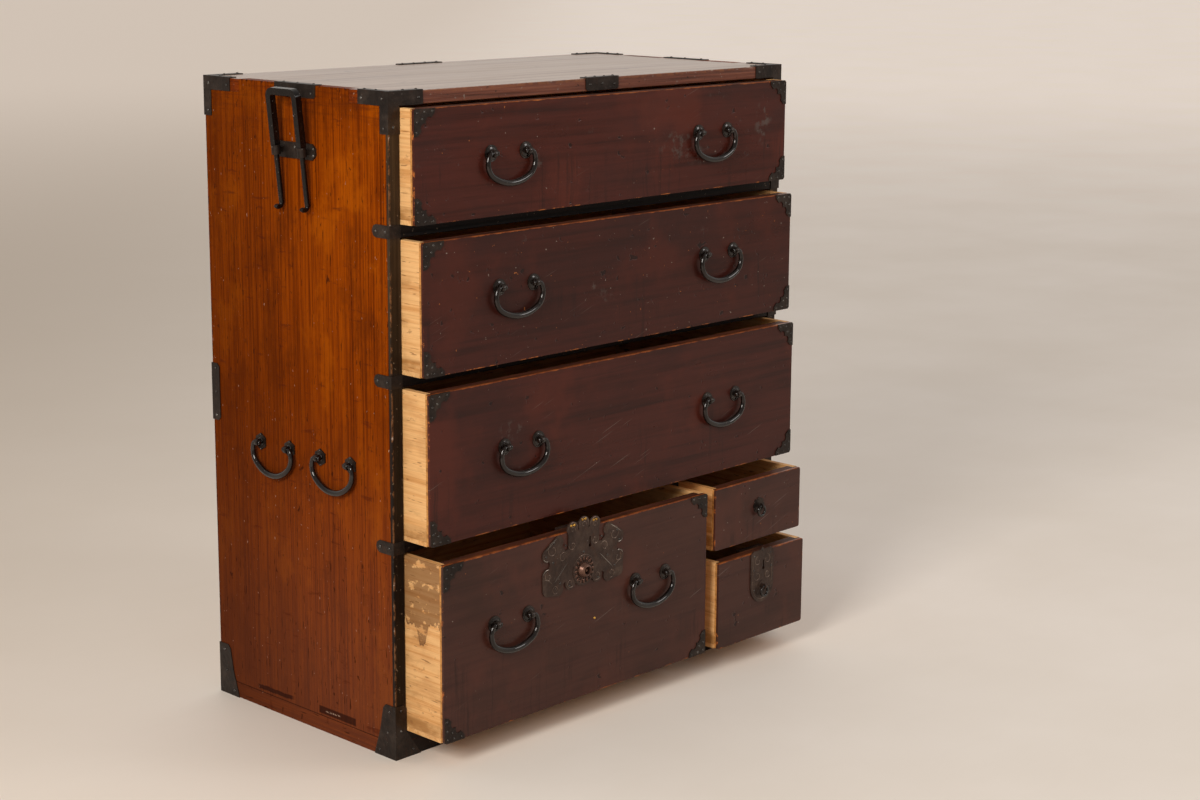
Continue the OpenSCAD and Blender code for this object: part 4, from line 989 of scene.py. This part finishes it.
def chased(name, seat, body, arcs, radius, finish):
    """Raised lines on a plate: each is a list of (across, up) in millimetres"""
    shape = Shape()
    for line in arcs:
        path = [seat.at(a * MM, b * MM) for a, b in line]
        ends = max(2, len(path) // 6)
        radii = [radius * min(1.0, 0.25 + min(i, len(path) - 1 - i) / ends) for i in range(len(path))]
        shape.bar(path, radii, seat.outwards, 6)
    place_piece(name, shape.mesh(name), body, finish)


def curl(cx, cz, r0, r1, a0, a1, steps=22):
    """A line round a centre, from one radius and angle to another"""
    line = []
    for k in range(steps + 1):
        s = k / steps
        a, r = math.radians(a0 + (a1 - a0) * s), r0 + (r1 - r0) * s
        line.append((cx + r * math.cos(a), cz + r * math.sin(a)))
    return line


def straight(a, b, steps=8):
    return [(a[0] + (b[0] - a[0]) * k / steps, a[1] + (b[1] - a[1]) * k / steps) for k in range(steps + 1)]


# scrolls and rims of one half of the plate, the rims worn and painted pale as highlights: across, up, two radii, two
# angles and steps
SCROLLS = ((68, -22, 12.5, 3, 110, -300, 34), (77, -62, 8, 2.5, 60, -260, 28), (62, -85, 8, 2.5, -120, 240, 28),
           (30, -82, 8, 2.5, -150, 200, 26), (25, -23, 8, 2.5, 20, -330, 28), (46, -38, 9, 3, 150, -170, 26),
           (88, -88, 22, 22, 95, 150, 14))
RIM_ARCS = ((79.2, -60.5, 9.6, 9.6, 20, 110, 12), (79.2, -28, 9.6, 9.6, -100, -30, 12))


def on_half(s, curls):
    """Curls on the right half of the plate, or mirrored to the left"""
    base = 0 if s > 0 else 180
    return [curl(s * cx, cz, r0, r1, base + s * a0, base + s * a1, steps) for cx, cz, r0, r1, a0, a1, steps in curls]


arcs, rims = [], []
for k in (-1, 0, 1):
    rise = 7 if k == 0 else 3
    arcs += [curl(k * LOBE_PITCH, rise, 10.2, 10.2, 5, 175), curl(k * LOBE_PITCH, rise - 1, 5.5, 2.0, -40, 300)]
for s in (-1, 1):
    arcs += on_half(s, SCROLLS)
    rims += [straight((s * 60.5, -5.5), (s * 84, -21)), straight((s * 66, -76), (s * 36, -48))]
    rims += on_half(s, RIM_ARCS)
arcs.append(curl(0, -BOSS_DOWN, 24, 24, 20, 160, 30))
chased("lock_chased_lines", lock_seat, "wide_drawer", arcs, 0.6 * MM, CHASED)
# raised rims worn bright, and painted pale as highlights
chased("lock_worn_rims", lock_seat, "wide_drawer", rims, 0.7 * MM, WORN_AND_HIGHLIT_IRON)

petal = turned_mesh("petal", PETAL, 10, 50, Matrix.Diagonal((0.62, 1.25, 1, 1)))
petals = []
for a in (2 * math.pi * k / 16 for k in range(16)):
    turn = (lock_seat.turn.to_matrix() @ Matrix.Rotation(a - math.pi / 2, 3, "Z")).to_euler()
    across, up = PETAL_RING * math.cos(a), PETAL_RING * math.sin(a) - BOSS_DOWN
    petals.append((lock_seat.at(across * MM, up * MM), turn, 1.1))
set_on_points("lock_petals", petal, petals, "wide_drawer", COPPER)
boss = turned_mesh("boss", BOSS, 24)
boss.transform(lock_seat.matrix(0, -BOSS_DOWN * MM))
place_piece("lock_boss", boss, "wide_drawer", COPPER)

lo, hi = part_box("small_drawer_front")
small_seat = Seat("front", ((lo.x + hi.x) / 2, lo.y - LOCK_SHEET, hi.z))
nail("small_drawer", small_seat, (-21, -6), (21, -6), (-23, -30), (23, -30), (-20, -66), (20, -66), (0, -81),
     (0, 2), size=0.75)
chased("small_lock_chased_lines", small_seat, "small_drawer",
       [curl(0, -58.5, 25, 25, 180, 360, 30), [(-25, -58 + 5 * k) for k in range(10)],
        [(25, -58 + 5 * k) for k in range(10)], curl(-12, -16, 9, 3, 90, 400), curl(12, -16, 9, 3, 90, -220),
        curl(-13, -42, 8, 3, 200, 520), curl(13, -42, 8, 3, -20, -340)], 0.6 * MM, CHASED)

for i, (body, spots) in enumerate(sorted(nails.items())):
    set_on_points(body + "_nails", NAIL, spots, body, NAIL_IRON, 1.0, 0.14, 6.28, 11 + i)

# ---------- floor, light and camera ----------

floor_mesh = bpy.data.meshes.new("floor")
reach = 60.0
floor_mesh.from_pydata([(-reach, -reach, 0), (reach, -reach, 0), (reach, reach, 0), (-reach, reach, 0)], [],
                       [(0, 1, 2, 3)])
floor = new_thing("floor", floor_mesh)
floor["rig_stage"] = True
f = Finish("pale_floor", rough=0.6, specular=0.2)
mottle = f.noise(1.6, 1.6, 1.6, 4.0, 0.55)
streaks = f.noise(3.0, 22.0, 3.0, 4.0, 0.6)
bounced = f.tones(mottle, [(0.3, "#ded4c9"), (0.7, "#e6ddd3")])
f.colour = f.tones(mottle, [(0.3, "#f0e7dd"), (0.7, "#f7efe7")])
f.tint("#e0d4c6", streaks, 0.5, 0.7, 0.025)
# the floor lies in softer light at the left, away from the windows
across_view = f.plus(f.times(f.x, 0.69), f.times(f.y, -0.72))
f.cover(f.ease(across_view, 0.6, -2.2), "#d4c7b8")
camera_ray = f.add("ShaderNodeLightPath").outputs["Is Camera Ray"]
f.set("Base Color", f.mixed(camera_ray, bounced, f.colour))
# far behind the chest the floor glows for the camera: painted light that makes the backdrop paler still
away = f.calc("SQRT", f.plus(f.times(f.x, f.x), f.times(f.y, f.y)))
f.set("Emission Color", paint("#fff0e4"))
f.set("Emission Strength", f.times(f.ease(away, 1.5, 14.0), 0.26, camera_ray))
floor_mesh.materials.append(f.mat)


def soft_lamp(name, at, aim, size, power, colour):
    data = bpy.data.lights.new(name, "AREA")
    data.shape, data.size, data.energy, data.color = "SQUARE", size, power, colour
    lamp = new_thing(name, data)
    lamp.location = at
    lamp.rotation_mode = "QUATERNION"
    lamp.rotation_quaternion = (Vector(aim) - Vector(at)).to_track_quat("-Z", "Y")


soft_lamp("key", (-3.6, -1.3, 2.3), (0, 0, 0.5), 1.4, 112, (1.0, 0.95, 0.88))
soft_lamp("fill", (2.6, -3.6, 2.6), (0, 0, 0.4), 1.4, 34, (1.0, 0.97, 0.94))

# the room's light comes more from behind the chest; what the camera sees of it is one pale tone
world = bpy.data.worlds.new("studio")
bpy.context.scene.world = world
world.use_nodes = True
room = Nodes(world.node_tree)
room.tree.nodes.clear()
rays = room.add("ShaderNodeLightPath").outputs
seen = room.add("ShaderNodeMath", rays["Is Camera Ray"], rays["Is Transmission Ray"], operation="MAXIMUM")
behind = room.add("ShaderNodeVectorMath", room.add("ShaderNodeTexCoord").outputs["Generated"], (0.72, 0.69, 0.0),
                  operation="DOT_PRODUCT").outputs["Value"]
level = room.add("ShaderNodeMapRange", behind, -0.3, 0.6, 0.4, 0.9)
light = room.add("ShaderNodeBackground", paint("#ece5de"), level.outputs[0])
backdrop = room.add("ShaderNodeBackground", paint("#d9cfc6"), 1.0)
either = room.add("ShaderNodeMixShader", seen.outputs[0], light.outputs[0], backdrop.outputs[0])
room.add("ShaderNodeOutputWorld", either.outputs[0])

# the photograph's own viewpoint
CAMERA_AT, LENS, SHIFT = (-2.4711, -2.5793, 1.2482), 65.657, -0.04
yaw, pitch, roll = (math.radians(a) for a in (46.273, -11.304, 0.359))
look = Vector((math.sin(yaw) * math.cos(pitch), math.cos(yaw) * math.cos(pitch), math.sin(pitch)))
right = look.cross(Vector((0, 0, 1))).normalized()
up = right.cross(look)
right, up = right * math.cos(roll) + up * math.sin(roll), up * math.cos(roll) - right * math.sin(roll)
camera_data = bpy.data.cameras.new("camera")
camera_data.sensor_width = 36.0
camera_data.lens = LENS
camera_data.shift_y = SHIFT
camera_data.clip_end = 200.0
camera = new_thing("camera", camera_data)
camera.matrix_world = Matrix.Translation(CAMERA_AT) @ Matrix(
    ((right.x, up.x, -look.x), (right.y, up.y, -look.y), (right.z, up.z, -look.z))).to_4x4()
bpy.context.scene.camera = camera
bpy.context.scene.view_settings.view_transform = "Standard"

lo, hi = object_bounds()
